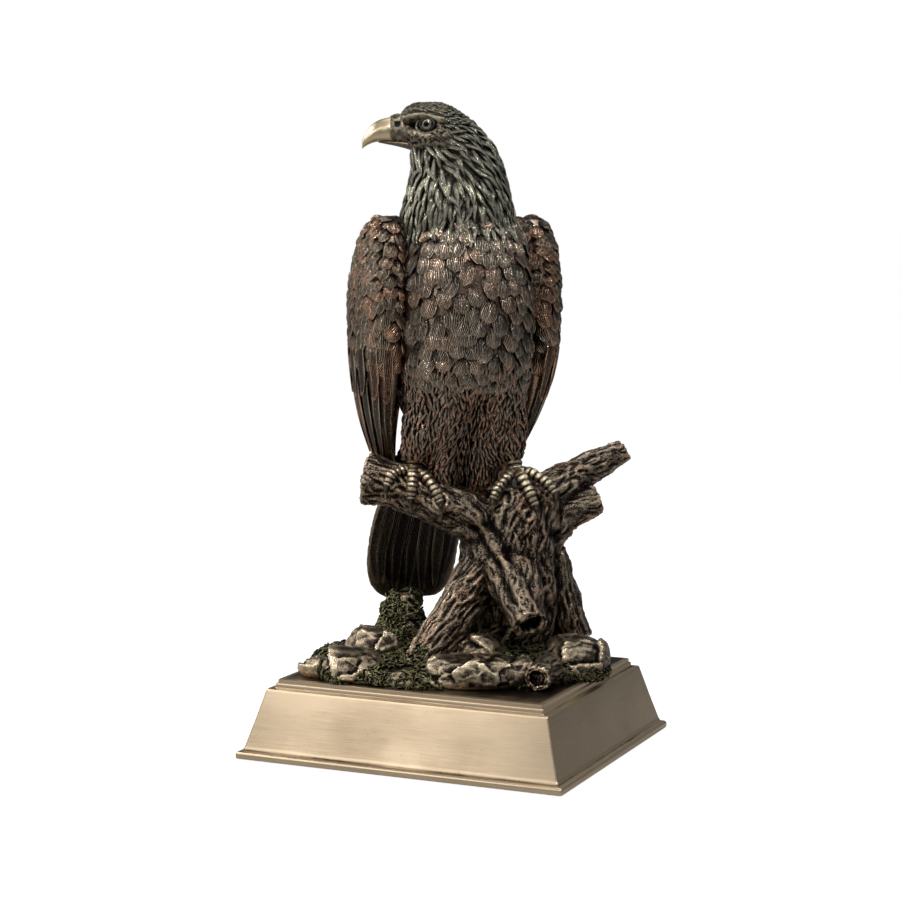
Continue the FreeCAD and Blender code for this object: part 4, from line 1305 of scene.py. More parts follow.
@dataclass
class Tail:
    """The tail: broad overlapping feathers on both of its faces."""

    perch: float
    patterns: dict[Plume, Template]
    rings: tuple[tuple[float, ...], ...] = (
        (-11, 49, -68, 13, 3.2),
        (-12, 47.5, -61, 21, 3.7),
        (-12, 43, -43, 24.5, 4.2),
        (-10, 38, -23, 24, 5),
        (-7, 31, -3, 20.5, 6),
        (-3, 25, 17, 16, 7),
        (-1, 22, 30, 11, 5),
    )

    def build(self) -> None:
        """Make the tail's skin and the feathers on its two faces."""
        piece = cast_skin("tail_form", ["tail"], 1.1, 3)
        points = vertices_of(piece)
        move_vertices(piece, points - normals_of(piece) * 0.7)
        skin = Skin(piece)
        template = self.patterns[Plume.VANE]
        s, t = template.across, template.along
        for face, word, seed in ((-1.0, "front", 41), (1.0, "back", 42)):
            dice = np.random.default_rng(seed)
            count = 6
            lanes = np.linspace(-0.84, 0.84, count) + dice.uniform(-0.04, 0.04, count)
            widths = template.blade.half_width(t) * s
            ends = -66.5 + 5.0 * np.abs(lanes) ** 2 + dice.uniform(-0.8, 0.8, count)
            height = 22.0 + (ends - 22.0)[:, None] * t[None, :]
            drift = dice.uniform(-0.12, 0.12, count)[:, None] * (t**2)[None, :]
            lane = np.clip(lanes[:, None] + 0.24 * widths[None, :] + drift, -1.12, 1.12)
            middle = np.array([ring_at(self.rings, level) for level in height.ravel()])
            middle = middle.reshape(count, -1, 4)
            across = middle[..., 0] + middle[..., 2] * lane
            back = middle[..., 1] + face * (middle[..., 3] + 2.0)
            flat = np.stack([across, back, height + self.perch], -1)
            places = out_of_frame(flat, EAGLE_YAW) + np.array([EAGLE_SHIFT, 0, 0])
            edge = 0.1 + 0.9 * (0.5 - 0.5 * s * np.sign(lanes + 0.01)[:, None])
            quill = template.blade.shaft * (np.abs(s) < 0.15)[None, :]
            top = edge + quill + 0.3 * (1 - s**2)[None, :] + 0.1 * np.sin(s * 16.0)[None, :]
            heights = np.where(template.under[None, :], top - template.blade.thick, top)
            vanes = place_copies(
                f"tail_{word}_feathers", template, skin, places, heights, dice.random(count)
            )
            settle(vanes, TAIL_DARK, "tail_bronze")
        self.cover_root(skin)
        mark_relief(piece, 6, 0.6)
        settle(piece, TAIL_DARK, "tail_bronze", "tail")

    def cover_root(self, skin: Skin) -> None:
        """Lay small coverts over the tail's root, where its long feathers start."""

        def root(points: Array) -> Array:
            """The tail's upper end."""
            return (points[:, 2] - self.perch > 4.0).astype(float)

        def down(points: Array) -> Array:
            """Coverts hang down the tail."""
            return np.tile(np.array([0.0, 0.15, -1.0]), (len(points), 1))

        coverts = Coat(
            "tail_coverts", root, down, everywhere(12.0), everywhere(6.6),
            lift=2.6, seed=43, most=190, packing=(0.4, 0.6), jitter=0.18,
        ).lay(skin, self.patterns[Plume.SCALE])
        settle(coverts, WING_COPPER, "plumage_bronze")


@dataclass
class Head:
    """The head: brow, eye hollow, cheek and gape under short strands, with beak and eyes."""

    perch: float
    eye: tuple[float, float, float] = (-13.6, -6.0, 164.8)
    eye_gap: float = 11.5
    eye_radius: float = 2.7

    def spot(self, across: float, off: float, rise: float, side: int) -> Array:
        """A point beside the head's middle plane, in the row frame, in millimetres."""
        return np.array(rock_point(across, self.eye[1] + side * off, rise + self.perch))

    def build(self) -> None:
        """Make the head's skin, beak, eyes and eyelids."""
        piece = cast_skin("eagle_head", ["head"], 0.7, 4)
        self.model_face(piece)
        mark_relief(piece, 3, 0.28)
        settle(piece, CERE, "head_bronze", "head")
        self.make_beak()
        self.make_eyes()

    def model_face(self, piece: bpy.types.Object) -> None:
        """Push the brow, hollow, cheek, gape and fine strands into the head's skin."""
        points, normals = vertices_of(piece), normals_of(piece)
        shift = np.zeros(len(points))
        forms = (
            ((-25, 8.2, 168.0), (-16, 12.8, 169.0), 1.5, 3.1),
            ((-16, 12.8, 169.0), (-7, 13.6, 166.8), 1.6, 2.4),
            ((-22, 10.0, 164.2), (-17, 12.5, 164.4), 2.3, -3.2),
            ((-13.6, 13.0, 164.6), (-13.6, 13.2, 164.6), 3.6, -2.4),
            ((-14, 12.5, 159.6), (-6, 13.5, 159.6), 2.6, 0.9),
            ((-24, 7.5, 155.6), (-13, 12.0, 157.6), 0.75, -1.1),
            ((-9.0, 13.5, 166.0), (-8.0, 13.5, 162.0), 1.3, 0.7),
        )
        for side in (-1, 1):
            for start, end, reach, height in forms:
                a, b = self.spot(*start, side), self.spot(*end, side)
                way = b - a
                part = np.clip((points - a) @ way / (way @ way), 0, 1)
                far = np.linalg.norm(points - (a + part[:, None] * way), axis=1)
                shift += height * np.exp(-((far / reach) ** 2))
        place = into_frame(points, ROCK_YAW) - np.array([0, 0, self.perch])
        lines = np.stack([place[:, 0] * 0.22, place[:, 1], place[:, 2] + place[:, 0] * 0.5], 1)
        face = smooth_step(152, 156, place[:, 2]) * smooth_step(2, -8, place[:, 0])
        shift += face * (0.34 * ridges(lines, 1.5, 2.0) + 0.25 * fractal(points, 1.3, 2))
        shift -= 1.6 * (1 - face)
        move_vertices(piece, points + normals * shift[:, None])

    def make_beak(self) -> None:
        """Loft the hooked upper beak with its cere, and the lower one."""
        top = ((-23, 169.0), (-27, 169.6), (-31.7, 168.6), (-36, 167.6), (-39.5, 165.6), (-42.5, 162.4),
               (-44.6, 158.4), (-45.0, 155.0))
        low = ((-23, 156.0), (-27, 156.6), (-31.7, 157.0), (-35, 157.2), (-38.2, 157.2), (-41.0, 156.4),
               (-43.6, 155.0), (-44.6, 153.9))
        half = (4.4, 4.7, 5.3, 4.6, 3.9, 2.9, 1.6, 0.5)
        self.horn("beak", top, low, half, BEAK_GOLD, "upper_beak")
        top = ((-20, 158.4), (-25, 158.2), (-30, 158.0), (-34, 157.8), (-37.0, 157.4))
        low = ((-20, 152.6), (-25, 154.2), (-30, 155.4), (-34, 156.2), (-37.2, 156.8))
        half = (5.8, 5.0, 4.1, 2.8, 1.1)
        self.horn("under_beak", top, low, half, TAIL_DARK, "lower_beak")
        top = ((-20, 168.4), (-24, 169.9), (-28.0, 170.2), (-31.4, 169.0))
        low = ((-20, 156.4), (-24, 156.2), (-28.0, 156.4), (-31.4, 157.4))
        half = (7.0, 6.9, 6.3, 5.5)
        self.horn("cere", top, low, half, CERE, "")

    def horn(
        self, name: str, top: Sequence[tuple], low: Sequence[tuple], half: Sequence[float], finish: Patina,
        node: str,
    ) -> None:
        """Loft a beak through its top line, lower line and half widths.

        Args:
            name: Name of the piece.
            top, low: Points of the two lines in the head's middle plane: forward place and height.
            half: Half width at each point.
            finish: The piece's finish.
            node: The casting that it stands for, or nothing.
        """
        count, sides = 34, 36
        upper = curve_through([Vector((x, 0, z)) for x, z in top], count)
        under = curve_through([Vector((x, 0, z)) for x, z in low], count)
        wide = curve_through([Vector((w, 0, 0)) for w in half], count)
        rings = []
        for number in range(count):
            t = number / (count - 1)
            middle = (upper[number] + under[number]) / 2
            tall = (upper[number] - under[number]) / 2
            swell = 1.0
            if node == "upper_beak":
                swell += 0.05 * math.sin(max(t - 0.4, 0.0) * 5.0)
            ring = []
            for corner in range(sides):
                turn = corner / sides * 2 * math.pi
                c, s = math.cos(turn), math.sin(turn)
                out = math.copysign(abs(c) ** 0.85, c) * wide[number].x * swell
                rise = math.copysign(abs(s) ** 0.9, s)
                pinch = 1.0 - 0.22 * max(s, 0.0)
                if node == "upper_beak":
                    pinch -= 0.09 * float(smooth_step(0.3, 0.46, np.array(s)))
                spot = middle + tall * rise * (1 + (swell - 1) * 0.6)
                ring.append(tuple(rock_point(spot.x, self.eye[1] + out * pinch, spot.z + self.perch)))
            rings.append(np.array(ring))
        piece = extruded_loft(name, rings)
        points = vertices_of(piece)
        if name == "cere":
            shift = 0.3 * fractal(points, 2.2, 3) + 0.3 * ridges(points * np.array([1, 1, 0.6]), 3.0)
            for side in (-1, 1):
                nostril = self.spot(-28.2, 6.0, 165.6, side)
                far = np.linalg.norm(points - nostril, axis=1)
                shift += 0.45 * np.exp(-((far / 2.4) ** 2)) - 1.4 * np.exp(-((far / 1.3) ** 2))
            move_vertices(piece, points + normals_of(piece) * shift[:, None])
        mark_relief(piece, 3, 0.35)
        if name == "cere":
            # Painted shade: the value is brought down to nothing inside both nostril hollows.
            dark = np.full(len(points), 0.0)
            piece.data.attributes["relief_and_painted_light"].data.foreach_get("value", dark)
            for side in (-1, 1):
                far = np.linalg.norm(points - self.spot(-28.2, 6.0, 165.6, side), axis=1)
                dark *= smooth_step(0.9, 1.9, far)
            mark(piece, "relief_and_painted_light", dark)
        settle(piece, finish, "beak_bronze", *([node] if node else []))

    def make_eyes(self) -> None:
        """Lathe both eyeballs, with pupil, iris ring and rim, and lay a lid round each."""
        balls, lids = [], []
        angles = [2, 10, 18, 24, 27, 31, 40, 50, 58, 62, 66, 80, 100, 130, 160, 178]
        bulge = [0.1, 0.1, 0.1, 0.05, -0.16, 0.0, 0.1, 0.08, 0.0, -0.14, 0.0, 0.0, 0.0, 0.0, 0.0, 0.0]
        for side in (-1, 1):
            middle = Vector(self.spot(self.eye[0], self.eye_gap, self.eye[2], side))
            gaze = (rock_point(-0.42, side * 1.0, 0.02)).normalized()
            across = gaze.cross(Vector((0, 0, 1))).normalized()
            up = across.cross(gaze).normalized()
            rings = []
            for angle, extra in zip(angles, bulge):
                a = math.radians(angle)
                reach = self.eye_radius + 0.35 + extra
                rings.append(np.array([
                    tuple(middle + gaze * reach * math.cos(a)
                          + (across * math.cos(turn) + up * math.sin(turn)) * reach * math.sin(a))
                    for turn in np.linspace(0, 2 * math.pi, 33)[:-1]
                ]))
            ball = extruded_loft(f"eye_{side}", rings)
            off = unit(vertices_of(ball) - np.array(middle))
            angle = np.degrees(np.arccos(np.clip(off @ np.array(gaze), -1, 1)))
            shade = np.where(angle < 25, 0.0, np.where(angle < 59, 0.62, 0.2))
            mark(ball, "relief_and_painted_light", shade)
            mark(ball, "tone", np.full(len(off), 0.5))
            balls.append(ball)
            bpy.ops.object.select_all(action="DESELECT")
            bpy.ops.mesh.primitive_torus_add(
                major_radius=2.85, minor_radius=0.5, major_segments=48, minor_segments=14,
                location=(0, 0, 0),
            )
            lid = bpy.context.object
            flat = vertices_of(lid) * MM
            point = np.abs(flat[:, 0]) / 3.6
            flat[:, 0] *= 1.12 + 0.16 * point
            flat[:, 1] *= 0.94 - 0.2 * point**3
            place = (
                np.array(middle) + np.array(gaze) * (flat[:, 2:] * 1.0 + 1.5)
                + np.array(across) * flat[:, :1] + np.array(up) * flat[:, 1:2]
            )
            move_vertices(lid, place)
            select_only(lid)
            bpy.ops.object.mode_set(mode="EDIT")
            bpy.ops.mesh.select_all(action="SELECT")
            bpy.ops.mesh.normals_make_consistent(inside=False)
            bpy.ops.object.mode_set(mode="OBJECT")
            bpy.ops.object.shade_smooth()
            mark(lid, "relief_and_painted_light", np.full(len(flat), 0.26))
            mark(lid, "tone", np.full(len(flat), 0.5))
            lids.append(lid)
        settle(joined("eagle_eyes", balls), EYE_FINISH, "eye_bronze", "eyes")
        settle(joined("eyelids", lids), VERDIGRIS, "head_bronze")


@dataclass
class Foot:
    """A foot: a scaled shank and toes ringed with scutes, each ending in a curved talon."""

    perch: float
    name: str
    rods: Sequence[Sequence[tuple[float, float, float, float]]]
    scutes: int = 9

    def build(self) -> None:
        """Loft the shank, the toes and the talons and join them."""
        parts = [self.tube(f"{self.name}_shank", self.rods[0], 5, 1.0)]
        for number, toe in enumerate(self.rods[1:]):
            parts.append(self.tube(f"{self.name}_toe_{number}", toe[:-1], self.scutes, 0.92, blunt=True))
            parts.append(self.talon(f"{self.name}_talon_{number}", toe[-2], toe[-1]))
        piece = joined(f"{self.name}_scaled", parts)
        settle(piece, FOOT_BRONZE, "foot_bronze", self.name)

    def tube(
        self, name: str, rod: Sequence[tuple[float, float, float, float]], scutes: int, swell: float,
        blunt: bool = False,
    ) -> bpy.types.Object:
        """A tapered tube whose upper side is stepped with scutes."""
        count, sides = 8 * scutes + 1, 20
        path = curve_through([rock_point(x, y, z + self.perch) for x, y, z, _ in rod], count)
        wide = curve_through([Vector((r, 0, 0)) for *_, r in rod], count)
        across = frame_along(path, rock_point(0, -0.5, 1))
        rings = []
        for number, (spot, (side, out)) in enumerate(zip(path, across)):
            t = number / (count - 1)
            step = (t * scutes) % 1.0
            end = 1.0 - 0.55 * smooth_step(0.93, 1.0, np.array(t)) if blunt else 1.0
            joint = 1.0 + 0.08 * math.cos(t * 3 * 2 * math.pi)
            ring = []
            for corner in range(sides):
                turn = corner / sides * 2 * math.pi
                upper = smooth_step(-0.1, 0.5, np.array(math.sin(turn)))
                plate = 0.15 * upper * (max(math.sin(step * math.pi), 0.0) ** 0.5 - 0.7)
                reach = wide[number].x * swell * end * joint * (1 + plate)
                ring.append(tuple(spot + side * (reach * math.cos(turn)) + out * (reach * math.sin(turn))))
            rings.append(np.array(ring))
        piece = extruded_loft(name, rings)
        points = vertices_of(piece)
        spots = np.array([tuple(spot) for spot in path])
        near = np.array([np.linalg.norm(spots - point, axis=1).argmin() for point in points])
        step = (near / (count - 1) * scutes) % 1.0
        # Bands along the scutes, plus painted light: the tops of the toes are painted lighter and their
        # undersides painted darker, as shade.
        rise = (points - spots[near])[:, 2] / np.array([w.x for w in wide])[near]
        shade = 0.08 + 0.62 * np.sin(step * math.pi) + 0.25 * np.clip(rise, -1, 1)
        mark(piece, "relief_and_painted_light", np.clip(shade, 0.0, 1.0))
        mark(piece, "tone", np.full(len(points), 0.5))
        return piece

    def talon(self, name: str, start: Sequence[float], end: Sequence[float]) -> bpy.types.Object:
        """A curved claw from the toe's last joint to its point."""
        first = rock_point(start[0], start[1], start[2] + self.perch)
        last = rock_point(end[0], end[1], end[2] + self.perch)
        bow = rock_point(0, -1.6, 0.6)
        path = curve_through([first, first.lerp(last, 0.5) + bow, last], 14)
        across = frame_along(path, rock_point(0, -1, 0.2))
        rings = []
        for number, (spot, (side, out)) in enumerate(zip(path, across)):
            t = number / 13
            reach = start[3] * 0.82 * (1 - t) ** 0.75 + 0.22
            turns = np.linspace(0, 2 * math.pi, 17)[:-1]
            rings.append(np.array([
                tuple(spot + side * (reach * 0.85 * math.cos(a)) + out * (reach * math.sin(a)))
                for a in turns
            ]))
        piece = extruded_loft(name, rings)
        tip = np.linalg.norm(vertices_of(piece) - np.array(tuple(last)), axis=1)
        mark(piece, "relief_and_painted_light", 0.25 + 0.3 * smooth_step(7.0, 1.5, tip))
        mark(piece, "tone", np.full(len(tip), 0.5))
        return piece


TOES = {
    "right_foot": (
        ((-20, -3.5, 14, 3.9), (-20.3, -5.2, 8, 3.5), (-20.5, -6.5, 3, 4)),
        ((-20.5, -6.5, 2.5, 3.2), (-26, -10, 2.5, 3), (-31, -13, 0.5, 2.8), (-33.6, -15, -5, 2.2),
         (-34, -14.4, -11, 0.7)),
        ((-20.5, -6.5, 2.5, 3.2), (-21, -12.5, 0.5, 3), (-21.5, -16, -5, 2.8), (-22, -17, -11, 2.2),
         (-22, -16, -17, 0.7)),
        ((-20.5, -6.5, 2.5, 3.2), (-15, -11.5, -0.5, 3), (-10.5, -15.5, -6.5, 2.8), (-8, -17.2, -12.5, 2.2),
         (-7.4, -16.6, -19, 0.7)),
        ((-20.5, -6.5, 2.5, 3.2), (-20.5, 1, 3, 3), (-20.5, 7, -0.5, 2.6), (-20.5, 9.5, -6, 0.8)),
    ),
    "left_foot": (
        ((26.5, 3, 13, 3.9), (27, 0.5, 7, 3.5), (27.5, -2, 1.5, 4)),
        ((27.5, -2, 1.5, 3.2), (23.5, -8.5, -1, 3), (19, -13.5, -5.5, 2.7), (16.5, -16, -11, 2.2),
         (16.8, -16, -16.5, 0.7)),
        ((27.5, -2, 1.5, 3.2), (30.5, -10.5, -1, 3), (34, -15.5, -7.5, 2.8), (37, -17.5, -14, 2.2),
         (38.5, -17, -20, 0.7)),
        ((27.5, -2, 1.5, 3.2), (35, -5.5, 0.5, 3), (42, -9, -3.5, 2.8), (46.5, -11, -9, 2.2),
         (47.5, -11.6, -15.5, 0.7)),
        ((27.5, -2, 1.5, 3.2), (28.5, 8, 0.5, 3), (30, 14, -4, 2.6), (30.5, 16, -9.5, 0.8)),
    ),
}


# ------------------------------------------------------------------------------------ the tree


@dataclass
class Tree:
    """The stump with its limbs and roots: one cast skin with bark that flows along each rod."""

    deck: float
    perch: float
    flute: float = 1.0
    ridge: float = 0.6
    crumb: float = 0.8
    groove_depth: float = 3.0
    grooves: tuple[tuple[tuple[float, float], ...], ...] = (
        ((15, 110), (24, 96), (36, 82), (45, 66)),
        ((-6, 113), (8, 106), (18, 92), (24, 76)),
        ((40, 122), (47, 104), (50, 84), (54, 62)),
    )
    knots: tuple[tuple[float, float, float, float, float], ...] = (
        (-31, -9, 128.5, 4.2, 2.2),
        (-8, -16, 121.0, 4.6, 2.4),
        (33, -14, 114.0, 4.0, 2.0),
        (58, 4, 127.0, 3.6, 1.6),
        (20, -14, 79.0, 4.2, 2.2),
    )

    def rods(self) -> dict[str, list[tuple[float, float, float, float]]]:
        """Each limb and root as points of the rockwork's frame over the row's floor, with radii."""
        from_perch = {
            "left_limb": ((16, -2, -26, 14), (0, -5, -17.5, 11.5), (-14, -5, -12, 10.5),
                          (-26, -3, -7.5, 10.5), (-35, -1.5, -4.2, 11.2), (-44, 0, -3, 12.4)),
            "right_branch": ((34, 5, -21, 14), (44, 11, -11.5, 11.5), (56, 18, -5, 9.5),
                             (69, 25, 1.5, 7.5), (82, 30, 7.5, 5.8)),
            "branch_stub": ((40, 6, -29, 13), (52, 10, -21, 9.5), (61, 13, -17, 8.2),
                            (68, 15, -15.3, 7.6)),
            "trunk": ((30, 9, -95, 18), (29, 8, -77, 17.5), (27, 5, -61, 20), (25, 2, -42, 22),
                      (26, 1, -27, 21), (28, 1, -15, 18), (29, 2, -6, 14)),
        }
        from_deck = {
            "left_root": ((12, -3, 49, 12), (3, -10, 35, 10.5), (-5, -16, 24, 9.8),
                          (-12, -20, 14, 9.6), (-17, -24, 4, 10)),
            "front_root": ((22, -5, 54, 14), (28, -15, 44, 12.5), (31.5, -24, 35, 10.4),
                           (34.5, -33, 27.4, 8.8)),
            "right_root": ((41, 8, 54, 12), (47.5, 10, 38, 10), (53, 12, 24, 9),
                           (58, 14, 11, 8.6)),
            "back_root": ((20, 14, 43, 12), (12, 25, 27, 10), (5, 34, 14, 8), (1, 40, 5, 6)),
        }
        found = {}
        for table, datum in ((from_perch, self.perch), (from_deck, self.deck)):
            for name, rows in table.items():
                found[name] = [(x, y, z + datum, r) for x, y, z, r in rows]
        return found

    def build(self) -> None:
        """Make the tree and the small fallen log."""
        names = ["trunk", "left_limb", "right_branch", "branch_stub",
                 "left_root", "front_root", "right_root", "back_root"]
        piece = cast_skin("tree", names, 0.75, 5)
        points, normals = vertices_of(piece), normals_of(piece)
        lines = self.rods()
        datum = self.deck
        lines["sweep"] = [(-14, -6, 82 + datum, 9), (5, -11, 76 + datum, 9), (17, -13, 62 + datum, 9),
                          (26, -17, 47 + datum, 9), (32, -25, 35 + datum, 9),
                          (34.5, -33, 27.4 + datum, 8.8)]
        move_vertices(piece, points + normals * self.bark(points, lines)[:, None])
        self.saw(piece, lines["front_root"], 5.2)
        mark_relief(piece, 9, 0.8)
        settle(piece, BARK, "bark_bronze", *names)
        log = cast_skin("fallen_log", ["small_log"], 0.6, 3)
        rod = {"log": [(44, -33, 9 + datum, 6), (40, -43, 7 + datum, 6.5), (36.5, -53, 6.2 + datum, 6)]}
        points, normals = vertices_of(log), normals_of(log)
        move_vertices(log, points + normals * self.bark(points, rod)[:, None] * 0.5)
        self.saw(log, rod["log"], 3.6)
        mark_relief(log, 7, 0.5)
        settle(log, BARK, "bark_bronze", "small_log")

    def saw(
        self, piece: bpy.types.Object, rod: Sequence[tuple[float, float, float, float]], hollow: float
    ) -> None:
        """Cut year rings into a sawn end round its hollow."""
        end, before = (rock_point(*row[:3]) for row in (rod[-1], rod[-2]))
        way = np.array((end - before).normalized())
        points, normals = vertices_of(piece), normals_of(piece)
        off = points - np.array(end)
        along = off @ way
        out = np.linalg.norm(off - along[:, None] * way, axis=1)
        flat = smooth_step(0.55, 0.9, normals @ way) * smooth_step(-2.5, -1.2, along)
        flat = flat * (out < rod[-1][3] + 3)
        groove = 0.3 * np.sin(out * 3.6) * flat * (out > hollow)
        move_vertices(piece, points + way[None, :] * groove[:, None])

    def bark(self, points: Array, rods: dict[str, list[tuple[float, float, float, float]]]) -> Array:
        """Height of the bark at each point of the skin.

        Args:
            points: Points in the row frame.
            rods: The limbs and roots that the bark runs along.

        Returns:
            Millimetres along the normal.
        """
        total, weight = np.zeros(len(points)), np.full(len(points), 1e-6)
        for number, rod in enumerate(rods.values()):
            path = curve_through([rock_point(*row[:3]) for row in rod], 40)
            radii = np.array([r.x for r in curve_through([Vector((row[3], 0, 0)) for row in rod], 40)])
            spots = np.array([tuple(spot) for spot in path])
            steps = np.linalg.norm(np.diff(spots, axis=0), axis=1)
            run = np.concatenate([[0], np.cumsum(steps)])
            cross = frame_along(path, Vector((0.31, -0.62, 0.71)))
            sides = np.array([tuple(side) for side, _ in cross])
            outs = np.array([tuple(out) for _, out in cross])
            near = np.empty(len(points), int)
            far = np.full(len(points), np.inf)
            for index, spot in enumerate(spots):
                distance = np.linalg.norm(points - spot, axis=1)
                closer = distance < far
                near[closer] = index
                far[closer] = distance[closer]
            spare = far - radii[near]
            touched = spare < 7.0
            index = near[touched]
            off = points[touched] - spots[index]
            ways = np.cross(sides[index], outs[index])
            along = run[index] + (off * ways).sum(1) * np.sign((ways[0] @ (spots[1] - spots[0])) or 1)
            u, v = (off * sides[index]).sum(1), (off * outs[index]).sum(1)
            twist = along * 0.012
            turned_u = u * np.cos(twist) - v * np.sin(twist)
            turned_v = u * np.sin(twist) + v * np.cos(twist)
            wander = fractal(np.stack([turned_u, turned_v, along], 1), 13.0, 2, number * 3.1) * 3.0
            base = np.stack([turned_u + wander, turned_v - wander, along / 5.0], 1)
            share = 1.0 / (np.maximum(spare[touched], 0) + 1.2) ** 3
            height = self.flute * fractal(base, 5.5, 2, number * 1.7)
            height += self.ridge * ridges(base, 2.0, number * 2.3)
            height += self.crumb * fractal(base * np.array([1, 1, 1.8]), 3.6, 4)
            total[touched] += height * share
            weight[touched] += share
        height = total / weight
        for x, y, z, reach, tall in self.knots:
            far = np.linalg.norm(points - np.array(rock_point(x, y, z)), axis=1)
            dip = tall * 1.1 * np.exp(-((far / (reach * 0.42)) ** 2))
            height += tall * np.exp(-((far / reach) ** 2)) - dip
            height += 0.5 * np.sin(far * 2.4) * np.exp(-((far / (reach * 1.3)) ** 2))
        place = into_frame(points, ROCK_YAW)
        front = smooth_step(2.0, -4.0, place[:, 1])
        for line in self.grooves:
            for (x0, z0), (x1, z1) in zip(line, line[1:]):
                way = np.array([x1 - x0, z1 - z0])
                off = place[:, [0, 2]] - np.array([x0, z0])
                part = np.clip(off @ way / (way @ way), 0, 1)
                far = np.linalg.norm(off - part[:, None] * way, axis=1)
                cut = front * self.groove_depth * np.exp(-((far / 2.6) ** 2)) * 0.6
                height = np.minimum(height, height - cut)
        return height - 0.35


# ------------------------------------------------------------------------------------ rocks and moss


@dataclass
class Rockwork:
    """The broken rocks and the ground they stand in."""

    deck: float
    names: tuple[str, ...] = (
        "front_rock",
        "left_rock",
        "left_end_rock",
        "back_left_rock",
        "right_rock",
        "arch_rock",
        "back_rock",
    )

    def build(self) -> tuple[bpy.types.Object, bpy.types.Object]:
        """Make the rocks, the ground and the hummock.

        Returns:
            The ground and the hummock, for the moss to grow on.
        """
        for number, name in enumerate(self.names):
            rock = cast_skin(f"broken_{name}", [name], 0.75, 4)
            points, normals = vertices_of(rock), normals_of(rock)
            warp = points + 1.2 * np.stack([fractal(points, 7.0, 2, k * 5.0) for k in (1, 2, 3)], 1)
            shift = 3.0 * facets(warp, 17.0, number * 3.7)
            shift += 0.7 * facets(warp * np.array([1, 1, 1.5]), 7.5, number * 1.9 + 8.0)
            shift += 0.3 * fractal(points, 2.4, 3)
            shift += 0.2 * ridges(warp * np.array([0.35, 0.35, 1.4]), 4.0, number * 2.1)
            floor = smooth_step(self.deck, self.deck + 2.0, points[:, 2])
            move_vertices(rock, points + normals * ((shift - 0.2) * floor)[:, None])
            mark_relief(rock, 14, 0.8)
            settle(rock, ROCK, "rock_bronze", name)
        grounds = []
        beds = (("groundwork", "mossy_ground", 1.3), ("moss_hummock", "mossy_hummock", 1.6))
        for name, word, tall in beds:
            ground = cast_skin(word, [name], 1.1, 4, every_shell=True)
            points, normals = vertices_of(ground), normals_of(ground)
            shift = tall * fractal(points, 7.0, 3, 4.0) + 0.5 * ridges(points, 2.2, 3.0)
            floor = smooth_step(self.deck, self.deck + 1.2, points[:, 2])
            move_vertices(ground, points + normals * (shift * floor)[:, None])
            mark_relief(ground, 6, 0.7)
            grounds.append(ground)
        return grounds[0], grounds[1]


@dataclass
class Moss:
    """Curly strands that cover the ground, the hummock and the seams between the rocks."""

    patterns: dict[Plume, Template]
    deck: float
    long: float = 3.9
    wide: float = 0.95

    def build(self, ground: bpy.types.Object, hummock: bpy.types.Object) -> None:
        """Grow moss on the two grounds and settle them."""
        for piece, name, most, node in (
            (ground, "ground_moss", 3200, "groundwork"),
            (hummock, "hummock_moss", 1500, "moss_hummock"),
        ):
            strands = Coat(
                name, self.region, self.flow, everywhere(self.long), everywhere(self.wide),
                lift=1.5, seed=51 + most, most=most, packing=(0.42, 0.72),
                jitter=0.9, curl=0.3, sink=0.3, wave=0.09,
            ).lay(Skin(piece), self.patterns[Plume.WISP])
            settle(strands, MOSS, "moss_bronze")
            settle(piece, EARTH, "moss_bronze", node)

    def creep(self, name: str, piece: bpy.types.Object, most: int, edge: float, seed: int) -> None:
        """Grow patches of moss on a rock or on the tree's foot.

        Args:
            name: Name of the patch.
            piece: The finished mesh that it grows on.
            most: The largest number of strands.
            edge: Height over the deck where the moss ends.
            seed: Seed of the patch.
        """

        def patch(points: Array) -> Array:
            """Moss thins out at a ragged edge."""
            high = points[:, 2] - self.deck
            cloud = fractal(points, 13.0, 2, seed * 1.3)
            return smooth_step(edge + 3.0, edge - 4.0, high - cloud * edge * 0.8) * (high > 0.5)

        strands = Coat(
            name, patch, self.flow, everywhere(self.long), everywhere(self.wide),
            lift=1.4, seed=seed, most=most, packing=(0.42, 0.72),
            jitter=0.9, curl=0.3, sink=0.3, wave=0.09,
        ).lay(Skin(piece), self.patterns[Plume.WISP])
        settle(strands, MOSS, "moss_bronze")

    def region(self, points: Array) -> Array:
        """Moss grows in clumps on what is above the plinth's deck."""
        clumps = smooth_step(-0.3, 0.05, fractal(points, 10.0, 2, 5.0))
        return (points[:, 2] > self.deck + 0.8) * (0.16 + 0.84 * clumps)

    def flow(self, points: Array) -> Array:
        """The strands swirl, and hang a little."""
        swirl = np.stack([fractal(points, 9.0, 2, k * 7.0) for k in (1, 2, 3)], 1)
        return swirl * 2.2 + np.array([0.0, -0.1, -0.5])


# ------------------------------------------------------------------------------------ plinth and studio


